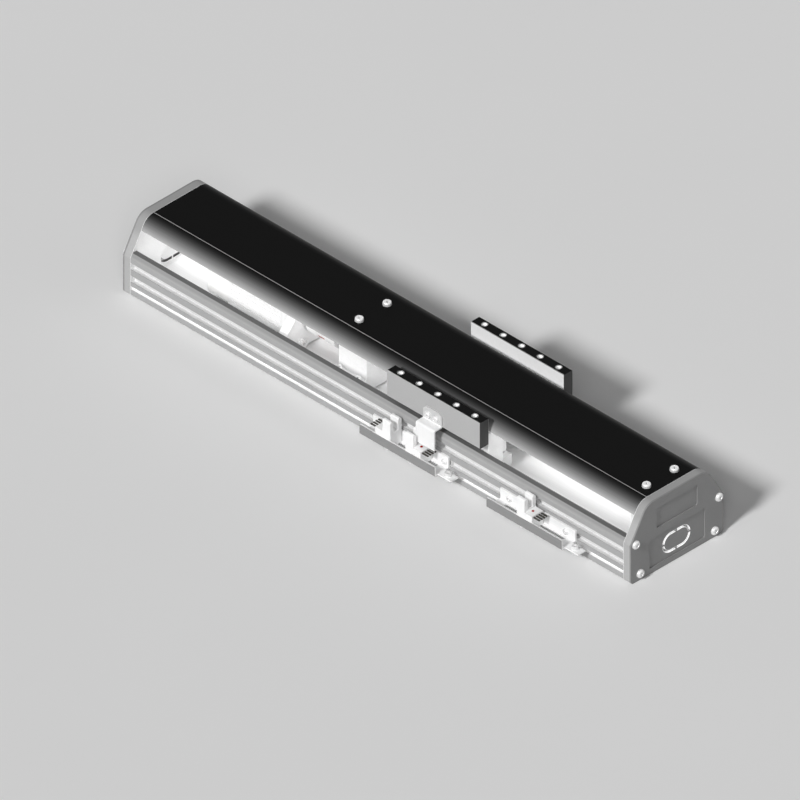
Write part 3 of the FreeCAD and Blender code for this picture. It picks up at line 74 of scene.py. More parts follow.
class Value:
    """A number in a shader, which sums and products of it extend with Math nodes."""

    def __init__(self, shader: "Shader", socket: bpy.types.NodeSocket) -> None:
        """Wraps a socket of a shader."""
        self.shader = shader
        self.socket = socket

    def _math(self, operation: str, first: "Value | float", second: "Value | float") -> "Value":
        """One Math node on two numbers."""
        made = self.shader.node("ShaderNodeMath", {"operation": operation}, [first, second])
        return Value(self.shader, made.outputs[0])

    def __add__(self, other: "Value | float") -> "Value":
        """Sum."""
        return self._math("ADD", self, other)

    def __radd__(self, other: float) -> "Value":
        """Sum with a plain number first."""
        return self._math("ADD", other, self)

    def __sub__(self, other: "Value | float") -> "Value":
        """Difference."""
        return self._math("SUBTRACT", self, other)

    def __rsub__(self, other: float) -> "Value":
        """Difference from a plain number."""
        return self._math("SUBTRACT", other, self)

    def __mul__(self, other: "Value | float") -> "Value":
        """Product."""
        return self._math("MULTIPLY", self, other)

    def __rmul__(self, other: float) -> "Value":
        """Product with a plain number first."""
        return self._math("MULTIPLY", other, self)

    def __truediv__(self, other: "Value | float") -> "Value":
        """Quotient."""
        return self._math("DIVIDE", self, other)

    def __abs__(self) -> "Value":
        """Distance from zero."""
        return self._math("ABSOLUTE", self, 0.0)

    def clamp(self) -> "Value":
        """The number held between 0 and 1."""
        return self._math("MINIMUM", self._math("MAXIMUM", self, 0.0), 1.0)

    def root(self) -> "Value":
        """Square root."""
        return self._math("SQRT", self, 0.0)

    def above(self, edge: float, soft: float) -> "Value":
        """Mask that rises from 0 at edge to 1 at edge plus soft."""
        return ((self - edge) / soft).clamp()

    def below(self, edge: float, soft: float) -> "Value":
        """Mask that falls from 1 at edge minus soft to 0 at edge."""
        return ((edge - self) / soft).clamp()

    def within(self, low: float, high: float, soft: float) -> "Value":
        """Mask of the stretch between two numbers."""
        return self.above(low, soft) * self.below(high, soft)


class Shader:
    """Material under construction, with its coordinates and its main shader."""

    # Sockets of the Mix node when it mixes colours.
    mix_factor, mix_low, mix_high, mix_result = 0, 6, 7, 2
    noise_scale, noise_roughness, noise_middle = 1.0, 0.6, 0.5

    def __init__(self, name: str) -> None:
        """Makes a material with one Principled shader.

        Args:
            name: Name of the material.
        """
        self.material = bpy.data.materials.new(name)
        self.material.use_nodes = True
        self.tree = self.material.node_tree
        self.surface = self.tree.nodes["Principled BSDF"]
        self.object_space = self.node("ShaderNodeTexCoord", {}, []).outputs["Object"]
        parts = self.node("ShaderNodeSeparateXYZ", {}, [self.object_space])
        self.x, self.y, self.z = (Value(self, parts.outputs[index]) for index in range(3))

    def node(self, kind: str, settings: dict, values: Iterable) -> bpy.types.Node:
        """Adds a node, sets its options, then fills its sockets in order.

        Args:
            kind: Type of the node.
            settings: Options of the node by name.
            values: Numbers, tuples, sockets or Values for its input sockets; None leaves a socket as it is.

        Returns:
            The new node.
        """
        made = self.tree.nodes.new(kind)
        for name, setting in settings.items():
            setattr(made, name, setting)
        for socket, value in zip(made.inputs, values):
            self.feed(socket, value)
        return made

    def feed(self, socket: bpy.types.NodeSocket, value: object) -> None:
        """Links or sets one input socket."""
        if value is None:
            return
        if isinstance(value, Value):
            self.tree.links.new(value.socket, socket)
        elif isinstance(value, bpy.types.NodeSocket):
            self.tree.links.new(value, socket)
        else:
            socket.default_value = value

    def noise(self, stretch: Sequence[float], detail: float) -> Value:
        """Noise on object coordinates.

        Args:
            stretch: Cells per metre along X, Y and Z.
            detail: Octaves of the noise.

        Returns:
            The noise, around 0.5.
        """
        mapping = self.node("ShaderNodeMapping", {}, [self.object_space, None, None, tuple(stretch)])
        values = [mapping.outputs[0], None, self.noise_scale, detail, self.noise_roughness]
        return Value(self, self.node("ShaderNodeTexNoise", {}, values).outputs[0])

    def mix(self, mask: "Value | float", low: object, high: object) -> bpy.types.NodeSocket:
        """Colour between two colours.

        Args:
            mask: 0 for the low colour, 1 for the high one.
            low: Colour or colour socket.
            high: Colour or colour socket.

        Returns:
            The mixed colour's socket.
        """
        made = self.tree.nodes.new("ShaderNodeMix")
        made.data_type = "RGBA"
        self.feed(made.inputs[self.mix_factor], mask)
        self.feed(made.inputs[self.mix_low], self.rgba(low))
        self.feed(made.inputs[self.mix_high], self.rgba(high))
        return made.outputs[self.mix_result]

    @staticmethod
    def rgba(colour: object) -> object:
        """Four numbers from three, or a socket as it is."""
        return (*colour, 1.0) if isinstance(colour, tuple) else colour

    def shaded(self, colour: object, amount: "Value") -> bpy.types.NodeSocket:
        """Colour made darker or lighter by a factor around 1."""
        factor = self.node("ShaderNodeCombineXYZ", {}, [amount, amount, amount]).outputs[0]
        made = self.tree.nodes.new("ShaderNodeMix")
        made.data_type = "RGBA"
        made.blend_type = "MULTIPLY"
        made.inputs[self.mix_factor].default_value = 1.0
        self.feed(made.inputs[self.mix_low], self.rgba(colour))
        self.feed(made.inputs[self.mix_high], factor)
        return made.outputs[self.mix_result]

    def bump(self, height: "Value", distance: float, strength: float) -> None:
        """Feeds a Bump node into the main shader's normal."""
        made = self.tree.nodes.new("ShaderNodeBump")
        made.inputs["Strength"].default_value = strength
        made.inputs["Distance"].default_value = distance
        self.feed(made.inputs["Height"], height)
        self.feed(self.surface.inputs["Normal"], made.outputs[0])


def grey(level: float) -> Colour:
    """Neutral colour of one level."""
    return (level, level, level)


@dataclass(frozen=True)
class Finish:
    """Plain finish with a grain: the tone and the gloss wander along the grain.

    The height of the surface is one noise, stretched along the grain, and the same noise moves the tone and the
    roughness, so a scratch is rougher and lighter at once.
    """

    name: str
    colour: Colour
    roughness: float = 0.4
    metallic: float = 0.0
    specular: float = 0.5
    coat: float = 0.0
    grain: tuple[float, float, float] = (400.0, 400.0, 400.0)
    tone_swing: float = 0.12
    roughness_swing: float = 0.15
    relief: float = 0.00002
    relief_strength: float = 0.25
    mottle: float = 0.05
    grain_detail: float = 4.0
    mottle_cells: float = 18.0
    mottle_detail: float = 2.0

    def tint(self, shader: Shader) -> object:
        """Colour before the grain; finishes with zones give their own."""
        return self.colour

    def build(self) -> bpy.types.Material:
        """Makes the material.

        Returns:
            The finished material.
        """
        shader = Shader(self.name)
        grain = shader.noise(self.grain, self.grain_detail)
        cloud = shader.noise(grey(self.mottle_cells), self.mottle_detail)
        scratch = grain - shader.noise_middle
        tone = 1.0 + scratch * (2 * self.tone_swing) + (cloud - shader.noise_middle) * (2 * self.mottle)
        surface = shader.surface.inputs
        shader.feed(surface["Base Color"], shader.shaded(self.tint(shader), tone))
        shader.feed(surface["Roughness"], (self.roughness + scratch * (2 * self.roughness_swing)).clamp())
        surface["Metallic"].default_value = self.metallic
        surface["Specular IOR Level"].default_value = self.specular
        surface["Coat Weight"].default_value = self.coat
        shader.bump(grain, self.relief, self.relief_strength)
        return shader.material


@dataclass(frozen=True)
class CoverFinish(Finish):
    """Black cover, lighter down the flanks by a painted reflection, with a fine painted highlight line at the near
    bend.
    """

    top: float = 66.0 * MM
    edge: float = 55.7 * MM
    # Painted reflection: the tone that the flanks reach at their lower edge.
    painted_flank_shading: float = 0.43
    bowed_share: float = 0.35
    bend_y: float = 24.9 * MM
    # Painted highlight: half width, reach below the top and tone of a fine bright line along the near bend.
    highlight_half_width: float = 0.35 * MM
    highlight_drop: float = 0.4 * MM
    line: float = 0.42

    def tint(self, shader: Shader) -> object:
        """Black on top, then a rise of tone with the drop below the top, part straight and part squared."""
        # Painted reflection: the tone rises from black as the surface drops below the top.
        drop = ((self.top - shader.z) / (self.top - self.edge)).clamp()
        rise = drop * drop * self.bowed_share + drop * (1.0 - self.bowed_share)
        painted_flank_shading = shader.mix(rise, self.colour, grey(self.painted_flank_shading))
        # Painted highlight: a fine bright line along the near bend only.
        from_bend = abs(abs(shader.y) - self.bend_y)
        line = from_bend.below(self.highlight_half_width, SHARP) * shader.z.above(self.top - self.highlight_drop, CRISP)
        line = line * shader.y.below(0.0, SHARP)
        return shader.mix(line, painted_flank_shading, grey(self.line))


@dataclass(frozen=True)
class BaseFinish(Finish):
    """Extrusion: satin sides; painted shade on the ledge and the upper sides; painted light in the slots and the
    channel.
    """

    ledge: float = 39.4 * MM
    ledge_skin: float = 0.15 * MM
    # Painted shade on the ledge's top face.
    ledge_shade_tone: float = 0.12
    side: float = 49.6 * MM
    side_bottom: float = 1.0 * MM
    channel: float = 43.3 * MM
    channel_bottom: float = 5.0 * MM
    channel_fade: float = 0.5 * MM
    # Painted light: near white of the lower slots and the channel, and light grey of the upper slots.
    bright: float = 0.95
    slot: float = 0.74
    groove_top: float = 10.5 * MM
    # Painted shade: from this height up the upper sides turn darker.
    flank_start: float = 35.5 * MM
    flank_fade: float = 2.0 * MM
    flank_shade_tone: float = 0.3

    def tint(self, shader: Shader) -> object:
        """Zones by height and by distance from the middle."""
        out = abs(shader.y)
        # Painted shade: darker on the upper sides.
        painted_flank_shading = shader.z.above(self.flank_start, self.flank_fade)
        colour = shader.mix(painted_flank_shading, self.colour, grey(self.flank_shade_tone))
        # Painted light: the faces in the slots near white below the grooves' tops and light grey above.
        inside = out.below(self.side, SHARP) * shader.z.within(self.side_bottom, self.flank_start, SHARP)
        slot = shader.mix(shader.z.above(self.groove_top, SHARP), grey(self.bright), grey(self.slot))
        colour = shader.mix(inside, colour, slot)
        # Painted light: the channel inside the base near white.
        channel = out.below(self.channel, SHARP) * shader.z.above(self.channel_bottom, self.channel_fade)
        colour = shader.mix(channel, colour, grey(self.bright))
        # Painted shade: the ledge's top face dark.
        ledge = shader.z.above(self.ledge - self.ledge_skin, CRISP)
        return shader.mix(ledge, colour, grey(self.ledge_shade_tone))


@dataclass(frozen=True)
class PlateFinish(Finish):
    """End plate: satin edges; painted shade on the outer face, its recesses and the top; painted light inside."""

    face: float = 272.5 * MM
    # Painted shade: tone of the outer face and its recesses.
    face_shade_tone: float = 0.26
    top: float = 50.0 * MM
    top_fade: float = 6.0 * MM
    # Painted shade: tone towards the top.
    top_shade_tone: float = 0.34
    ring_middle: float = 18.0 * MM
    ring_straight: float = 5.9 * MM
    ring_inner: float = 6.8 * MM
    ring_outer: float = 9.35 * MM
    ring_depth: float = 272.98 * MM
    bridge_half_width: float = 0.6 * MM
    # Painted light and painted glow of the front groove; painted shade of the rear groove.
    ring_light_tone: float = 0.95
    ring_glow: float = 0.32
    rear_ring_shade_tone: float = 0.09
    inner_face: float = 266.3 * MM
    # Painted light: tone of the pocket and the inner face.
    inner_light_tone: float = 0.9
    pocket_floor: float = 270.6 * MM
    pocket_radius: float = 11.2 * MM
    middle_fade: float = 1.0 * MM

    def core_distance(self, shader: Shader) -> Value:
        """Distance from the core line of the knock-out, a short level line in the middle of the plate."""
        along = (abs(shader.y) - self.ring_straight).clamp()
        across = shader.z - self.ring_middle
        return (along * along + across * across).root()

    def tint(self, shader: Shader) -> object:
        """Zones by the distance from the ends, by height and by distance from the knock-out's core line.

        The groove of the front knock-out and a narrow band of the face beside it are painted near white with a
        painted glow; the rear groove, seen from inside, is painted dark, a painted shade. The bridges across both
        keep the plate's tone.
        """
        out = abs(shader.x)
        from_core = self.core_distance(shader)
        front = shader.x.above(0.0, self.middle_fade)
        off_bridges = abs(shader.y).above(self.bridge_half_width, SHARP)
        off_bridges = off_bridges * abs(shader.z - self.ring_middle).above(self.bridge_half_width, SHARP)
        deep = 1.0 - (1.0 - out.below(self.ring_depth, CRISP)) * (1.0 - front)
        groove = from_core.within(self.ring_inner, self.ring_outer, SHARP) * off_bridges * deep
        # Painted shade: darker towards the top.
        colour = shader.mix(shader.z.above(self.top, self.top_fade), self.colour, grey(self.top_shade_tone))
        # Painted shade: the outer face and its recesses darker.
        colour = shader.mix(out.above(self.face, SHARP), colour, grey(self.face_shade_tone))
        # Painted light: the pocket and the inner face near white.
        pocket = from_core.below(self.pocket_radius, SHARP) * out.below(self.pocket_floor, CRISP)
        colour = shader.mix(pocket, colour, grey(self.inner_light_tone))
        colour = shader.mix(out.below(self.inner_face, SHARP), colour, grey(self.inner_light_tone))
        surface = shader.surface.inputs
        # Painted glow: the front groove and the band beside it glow, though no lamp is there.
        shader.feed(surface["Emission Color"], shader.mix(groove * front, grey(0.0), grey(self.ring_glow)))
        surface["Emission Strength"].default_value = 1.0
        # Painted light: the front groove near white; painted shade: the rear groove dark.
        ring = shader.mix(front, grey(self.rear_ring_shade_tone), grey(self.ring_light_tone))
        return shader.mix(groove, colour, ring)


@dataclass(frozen=True)
class TrayFinish(Finish):
    """Sensor tray: satin outside, painted near white inside, a painted light."""

    outer: float = 66.2 * MM
    floor: float = 11.3 * MM
    # Painted light: tone inside the tray.
    inside_light_tone: float = 0.9

    def tint(self, shader: Shader) -> object:
        """Painted light: near white but for the outer face and the underside."""
        inside = abs(shader.y).below(self.outer, SHARP) * shader.z.above(self.floor, SHARP)
        return shader.mix(inside, self.colour, grey(self.inside_light_tone))


@dataclass(frozen=True)
class SliderFinish(Finish):
    """Slider: satin aluminium; painted shade: dark wall tops, darker end faces; painted light: bright thread holes.
    """

    top: float = 69.6 * MM
    top_skin: float = 0.12 * MM
    top_fade: float = 0.04 * MM
    # Painted shade: tone of the wall tops.
    top_shade_tone: float = 0.002
    inside: float = 40.6 * MM
    # Painted light: tone of the inner wall faces.
    inside_light_tone: float = 0.85
    middle: float = 61.0 * MM
    half_length: float = 50.0 * MM
    end_skin: float = 0.1 * MM
    # Painted shade: tone of the end faces of the walls.
    end_shade_tone: float = 0.09
    hole_y: float = 45.25 * MM
    hole_reach: float = 2.9 * MM
    hole_depth: float = 6.0 * MM
    holes_from_end: float = 5.0 * MM
    holes_fade: float = 1.0 * MM
    face_below: float = 0.06 * MM
    face_above: float = 0.02 * MM
    face_fade: float = 0.02 * MM
    # Painted light and painted glow in the thread holes.
    hole_light_tone: float = 0.95
    hole_glow: float = 0.07

    def tint(self, shader: Shader) -> object:
        """Painted shade, dark on the very top; painted light, bright in the thread holes and on inner wall faces."""
        # Painted light: the inner wall faces near white.
        colour = shader.mix(abs(shader.y).below(self.inside, SHARP), self.colour, grey(self.inside_light_tone))
        from_middle = abs(shader.x - self.middle)
        on_wall = abs(shader.y).above(self.inside, SHARP)
        # Painted shade: the end faces of the walls dark.
        at_end = from_middle.above(self.half_length - self.end_skin, CRISP) * on_wall
        colour = shader.mix(at_end, colour, grey(self.end_shade_tone))
        # Painted shade: the wall tops near black.
        on_top = shader.z.above(self.top - self.top_skin, self.top_fade)
        colour = shader.mix(on_top, colour, grey(self.top_shade_tone))
        # Painted light: the thread holes near white.
        in_wall = abs(abs(shader.y) - self.hole_y).below(self.hole_reach, CRISP)
        in_wall = in_wall * from_middle.below(self.half_length - self.holes_from_end, self.holes_fade)
        low, high = self.top - self.face_below, self.top + self.face_above
        off_face = 1.0 - shader.z.within(low, high, self.face_fade)
        in_hole = in_wall * shader.z.above(self.top - self.hole_depth, SHARP) * off_face
        surface = shader.surface.inputs
        # Painted glow in the thread holes, though no lamp is there.
        shader.feed(surface["Emission Color"], shader.mix(in_hole, grey(0.0), grey(self.hole_glow)))
        surface["Emission Strength"].default_value = 1.0
        return shader.mix(in_hole, colour, grey(self.hole_light_tone))


@dataclass(frozen=True)
class FlagFinish(Finish):
    """Sensor flag: its tab on the slider wall is darker than the shelf and the blade."""

    tab_bottom: float = 47.0 * MM
    tab_fade: float = 0.5 * MM
    tab_tone: float = 0.58

    def tint(self, shader: Shader) -> object:
        """Zones by height."""
        return shader.mix(shader.z.above(self.tab_bottom, self.tab_fade), self.colour, grey(self.tab_tone))


@dataclass(frozen=True)
class LampFinish(Finish):
    """Tinted lens that glows faintly."""

    glow: float = 0.1

    def build(self) -> bpy.types.Material:
        """Makes the material with a faint glow."""
        material = super().build()
        surface = material.node_tree.nodes["Principled BSDF"].inputs
        surface["Emission Color"].default_value = (*self.colour, 1.0)
        surface["Emission Strength"].default_value = self.glow
        return material


LENGTHWISE = (6.0, 900.0, 900.0)
EVEN = (700.0, 700.0, 700.0)
FINE = (1800.0, 1800.0, 1800.0)

FINISHES = {
    "clear_anodised": BaseFinish("extruded side", grey(0.38), 0.42, 0.05, 0.2, grain=LENGTHWISE, tone_swing=0.06),
    "plate_anodised": PlateFinish("milled plate", grey(0.42), 0.4, 0.03, 0.2, grain=EVEN, tone_swing=0.07),
    "black_cover": CoverFinish("black cover sheet", grey(0.004), 0.45, 0.0, 0.02, grain=LENGTHWISE, relief=0.00001),
    "slider_anodised": SliderFinish("satin slider", grey(0.42), 0.38, 0.0, 0.03, grain=EVEN, tone_swing=0.06),
    "machined_aluminium": Finish("milled aluminium", grey(0.92), 0.35, 0.2, grain=EVEN, tone_swing=0.08),
    "bright_screw": Finish("bright zinc", grey(0.86), 0.25, 0.35, grain=FINE, tone_swing=0.08),
    "black_screw": Finish("black oxide", grey(0.03), 0.4, 0.2, grain=FINE),
    "rail_steel": Finish("ground rail", grey(0.72), 0.22, 0.5, grain=LENGTHWISE, tone_swing=0.05),
    "bearing_steel": Finish("ground bearing steel", grey(0.74), 0.24, 0.5, grain=EVEN, tone_swing=0.05),
    "screw_steel": Finish("rolled screw steel", grey(0.7), 0.2, 0.6, grain=EVEN, tone_swing=0.05),
    "flag_sheet": FlagFinish("flag sheet", grey(0.88), 0.35, 0.1, grain=(500.0, 500.0, 60.0), tone_swing=0.05),
    "tray_sheet": TrayFinish("tray sheet", grey(0.26), 0.4, 0.05, 0.2, grain=LENGTHWISE, tone_swing=0.08),
    "motor_shell": Finish("cast motor shell", grey(0.85), 0.45, 0.1, grain=EVEN, tone_swing=0.05),
    "light_plastic": Finish("light moulding", (0.86, 0.86, 0.85), 0.5, grain=FINE, tone_swing=0.04),
    "block_plastic": Finish("grey moulding", grey(0.68), 0.5, grain=FINE, tone_swing=0.05),
    "sensor_plastic": Finish("pale moulding", grey(0.88), 0.45, grain=FINE, tone_swing=0.04),
    "lamp_plastic": LampFinish("lamp lens", (0.3, 0.02, 0.015), 0.2, grain=FINE, tone_swing=0.02),
    "terminal_brass": Finish("dark terminal", (0.06, 0.057, 0.05), 0.3, 0.1, 0.3, grain=FINE, tone_swing=0.06),
    "stop_rubber": Finish("grey rubber", grey(0.3), 0.7, specular=0.3, grain=FINE, tone_swing=0.1),
    "spider_rubber": Finish("red elastomer", (0.45, 0.05, 0.03), 0.55, grain=FINE, tone_swing=0.08),
}


@dataclass
class Paintwork:
    """All finishes, built once and given to nodes and pieces by their slot."""

    made: dict[str, bpy.types.Material] = field(default_factory=dict)

    def material(self, slot: str) -> bpy.types.Material:
        """Material of a slot of the record."""
        if slot not in self.made:
            self.made[slot] = FINISHES[slot].build()
        return self.made[slot]

    def dress_frame(self) -> None:
        """Gives every node of the frame the finish that the record names for it."""
        for entry in frame["record"]["subparts"]:
            mesh = frame["nodes"][entry["node"]].data
            mesh.materials.clear()
            mesh.materials.append(self.material(entry["material_slot"]))
        log.info("dressed %d nodes in %d finishes", len(frame["nodes"]), len(self.made))


class Workshop:
    """Turns arrays into pieces that ride on a body."""

    def __init__(self, paintwork: Paintwork) -> None:
        """Keeps the finishes at hand."""
        self.paintwork = paintwork

    def piece(self, name: str, points: np.ndarray, faces: np.ndarray, slot: str, body: str) -> bpy.types.Object:
        """Makes one piece from arrays of points and four-cornered faces.

        Args:
            name: Name of the piece.
            points: Array of n by 3 places in metres.
            faces: Array of m by 4 point numbers.
            slot: Slot of the record that gives the finish.
            body: Body that the piece rides on.

        Returns:
            The new object.
        """
        mesh = bpy.data.meshes.new(name)
        mesh.from_pydata(points.tolist(), [], faces.tolist())
        mesh.update()
        mesh.materials.append(self.paintwork.material(slot))
        made = bpy.data.objects.new(name, mesh)
        bpy.context.scene.collection.objects.link(made)
        mesh.polygons.foreach_set("use_smooth", np.ones(len(mesh.polygons), dtype=bool))
        mesh.set_sharp_from_angle(angle=SMOOTH_ANGLE)
        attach(made, body)
        log.info("%s: %d faces on %s", name, len(faces), body)
        return made


def grid_faces(rows: int, columns: int) -> np.ndarray:
    """Faces of a grid whose columns close into a ring.

    Face (i, j) joins points (i, j), (i, j + 1), (i + 1, j + 1) and (i + 1, j), with j taken modulo the columns.

    Args:
        rows: Rows of points.
        columns: Points in each ring.

    Returns:
        Array of faces.
    """
    i, j = np.meshgrid(np.arange(rows - 1), np.arange(columns), indexing="ij")
    after = (j + 1) % columns
    corners = [i * columns + j, i * columns + after, (i + 1) * columns + after, (i + 1) * columns + j]
    return np.stack(corners, axis=-1).reshape(-1, 4)


def merged(parts: Sequence[tuple[np.ndarray, np.ndarray]]) -> tuple[np.ndarray, np.ndarray]:
    """Points and faces of several meshes as one."""
    offsets = np.cumsum([0] + [len(points) for points, _ in parts[:-1]])
    points = np.concatenate([points for points, _ in parts])
    faces = np.concatenate([faces + offset for (_, faces), offset in zip(parts, offsets)])
    return points, faces


@dataclass
class RolledScrew:
    """Ball screw with its rolled groove and its journals.

    The radius at place x and angle a is the profile's radius, less the groove's depth times a smooth notch of the
    phase x / lead - a / turn, which is a right-hand helix about +X.
    """

    axis_height: float = 31.0 * MM
    lead: float = 10.0 * MM
    groove_depth: float = 1.1 * MM
    groove_share: float = 0.42
    ring: int = 40
    step: float = 0.5 * MM
    run_in: float = 2.0 * MM
    longest_journal: float = 50.0 * MM
    journals: tuple[tuple[float, float, float], ...] = (
        (-94.5 * MM, -82.0 * MM, 3.98 * MM),
        (-82.0 * MM, -48.0 * MM, 4.98 * MM),
        (-48.0 * MM, 250.0 * MM, 6.0 * MM),
        (250.0 * MM, 262.0 * MM, 3.98 * MM),
    )
    thread: tuple[float, float] = (-38.0 * MM, 245.0 * MM)

    def stations(self) -> tuple[np.ndarray, np.ndarray]:
        """Places along X with their plain radius, with both radii at each shoulder and closed ends."""
        places = [np.array([self.journals[0][0]])]
        radii = [np.array([0.0])]
        for start, end, radius in self.journals:
            count = int((end - start) / self.step) if end - start > self.longest_journal else 2
            along = np.linspace(start, end, count)
            places.append(along)
            radii.append(np.full(count, radius))
        places.append(np.array([self.journals[-1][1]]))
        radii.append(np.array([0.0]))
        return np.concatenate(places), np.concatenate(radii)

    def build(self, workshop: Workshop) -> None:
        """Makes the screw in place of its plain solid."""
        places, radii = self.stations()
        angles = np.linspace(0.0, FULL_TURN, self.ring, endpoint=False)
        phase = places[:, None] / self.lead - angles[None, :] / FULL_TURN
        off_centre = np.abs((phase + 0.5) % 1.0 - 0.5) / (self.groove_share / 2)
        notch = np.sqrt(np.clip(1.0 - off_centre**2, 0.0, 1.0))
        first, last = self.thread
        run_in = np.clip((places - first) / self.run_in, 0, 1) * np.clip((last - places) / self.run_in, 0, 1)
        radius = radii[:, None] - self.groove_depth * notch * run_in[:, None] * (radii[:, None] > 0)
        points = np.stack(
            [
                np.repeat(places[:, None], self.ring, axis=1),
                radius * np.cos(angles),
                self.axis_height + radius * np.sin(angles),
            ],
            axis=-1,
        ).reshape(-1, 3)
        faces = grid_faces(len(places), self.ring)[:, ::-1]
        made = workshop.piece("rolled_screw", points, faces, "screw_steel", "screw")
        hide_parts("ball_screw")


def turned(
    rows: np.ndarray, drive: Drive, seat: Sequence[float], away: Sequence[float], ring: int
) -> tuple[np.ndarray, np.ndarray]:
    """Profile turned about a line, with rings that may have the shape of a recess.

    Each ring's radius is multiplied by 1 + share * (shape - 1). The shape over the angle a is a hexagon,
    cos 30 / cos(a from the middle of a side), or a cross, waist + (1 - waist) * |cos 2a| ^ 5.

    Args:
        rows: Radius and height in millimetres, and the share of the shape, from the far tip outwards.
        drive: Shape of the recess.
        seat: Origin of the heights, in metres.
        away: Direction of the heights.
        ring: Points in each ring.

    Returns:
        Points and faces.
    """
    cross_waist, cross_power = 0.3, 5
    angles = np.linspace(0.0, FULL_TURN, ring, endpoint=False)
    if drive is Drive.HEXAGON:
        shape = math.cos(math.pi / 6) / np.cos((angles % (math.pi / 3)) - math.pi / 6)
    else:
        shape = cross_waist + (1 - cross_waist) * np.abs(np.cos(2 * angles)) ** cross_power
    radius = MM * rows[:, 0:1] * (1.0 + rows[:, 2:3] * (shape[None, :] - 1.0))
    up = Vector(away).normalized()
    side = up.orthogonal().normalized()
    other = up.cross(side)
    points = np.array(seat) + (radius * np.cos(angles))[..., None] * np.array(side)
    points = points + (radius * np.sin(angles))[..., None] * np.array(other)
    points = points + MM * rows[:, 1][:, None, None] * np.array(up)
    return points.reshape(-1, 3), grid_faces(len(rows), ring)


@dataclass(frozen=True)
class Head:
    """Fastener of one size: a shank, a head and its recess, as one turned profile. Sizes are in millimetres."""

    recess_share: ClassVar[dict[Drive, float]] = {Drive.HEXAGON: 0.34, Drive.CROSS: 0.56}
    floor_share: ClassVar[dict[Drive, float]] = {Drive.HEXAGON: 0.4, Drive.CROSS: 0.2}
    thread_play: ClassVar[float] = 0.05
    dome_rings: ClassVar[int] = 9
    rim_share: ClassVar[float] = 0.22
    edge_share: ClassVar[float] = 0.08
    edge_bulge: ClassVar[float] = 0.3
    lip: ClassVar[float] = 1.25
    mouth: ClassVar[float] = 1.12
    mouth_drops: ClassVar[tuple[float, float]] = (0.02, 0.08)
    floor_drops: ClassVar[tuple[float, float]] = (0.06, 0.1)

    nominal: float
    shank: float
    domed: bool = True
    height: float = 0.6
    drive: Drive = Drive.HEXAGON
    width: float = 1.85
    ring: int = 36

    def profile(self) -> np.ndarray:
        """Rows of radius, height and recess share, from the shank's tip to the recess floor."""
        outer = self.nominal * self.width / 2
        high = self.nominal * self.height
        shank = self.nominal / 2 - self.thread_play
        recess = self.nominal * self.recess_share[self.drive]
        floor = high * self.floor_share[self.drive]
        lip = recess * self.lip
        rows = [(0.0, -self.shank, 0.0), (shank, -self.shank, 0.0), (shank, 0.0, 0.0), (outer, 0.0, 0.0)]
        if self.domed:
            turn = np.linspace(0.0, math.pi / 2, self.dome_rings)
            rim = high * self.rim_share
            dome_radius = lip + (outer - lip) * np.cos(turn)
            dome_height = rim + (high - rim) * np.sin(turn)
            rows += [(radius, height, 0.0) for radius, height in zip(dome_radius, dome_height)]
        else:
            edge = self.edge_share * self.nominal
            bulge = edge * self.edge_bulge
            rows += [(outer, high - edge, 0.0), (outer - bulge, high - bulge, 0.0)]
            rows += [(outer - edge, high, 0.0), (lip, high, 0.0)]
        first, second = (high - drop * self.nominal for drop in self.mouth_drops)
        rows += [(recess * self.mouth, first, 1.0), (recess, second, 1.0), (recess, floor, 1.0)]
        half_way, tip = (floor - drop * self.nominal for drop in self.floor_drops)
        rows += [(recess / 2, half_way, 0.5), (0.0, tip, 0.0)]
        return np.array(rows)

    def mesh(self, seat: Sequence[float], away: Sequence[float]) -> tuple[np.ndarray, np.ndarray]:
        """Points and faces of one fastener.

        Args:
            seat: Middle of the face under the head, in metres.
            away: Direction in which the head stands.

        Returns:
            Points and faces.
        """
        return turned(self.profile(), self.drive, seat, away, self.ring)


def pairs(first: Iterable, second: Iterable) -> list[tuple]:
    """Every first value with every second value."""
    return [(a, b) for a in first for b in second]


@dataclass(frozen=True)
class FastenerGroup:
    """Like fasteners of one node: their head, their seats in millimetres, and the way their heads stand."""

    node: str
    head: Head
    seats: Sequence[tuple[float, float, float]]
    away: tuple[float, float, float]
    body: str = "base"
    slot: str = "bright_screw"

    def build(self, workshop: Workshop) -> None:
        """Makes the group as one piece in place of its node."""
        seats = [tuple(value * MM for value in seat) for seat in self.seats]
        points, faces = merged([self.head.mesh(seat, self.away) for seat in seats])
        made = workshop.piece(f"fine_{self.node}", points, faces, self.slot, self.body)
        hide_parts(self.node)


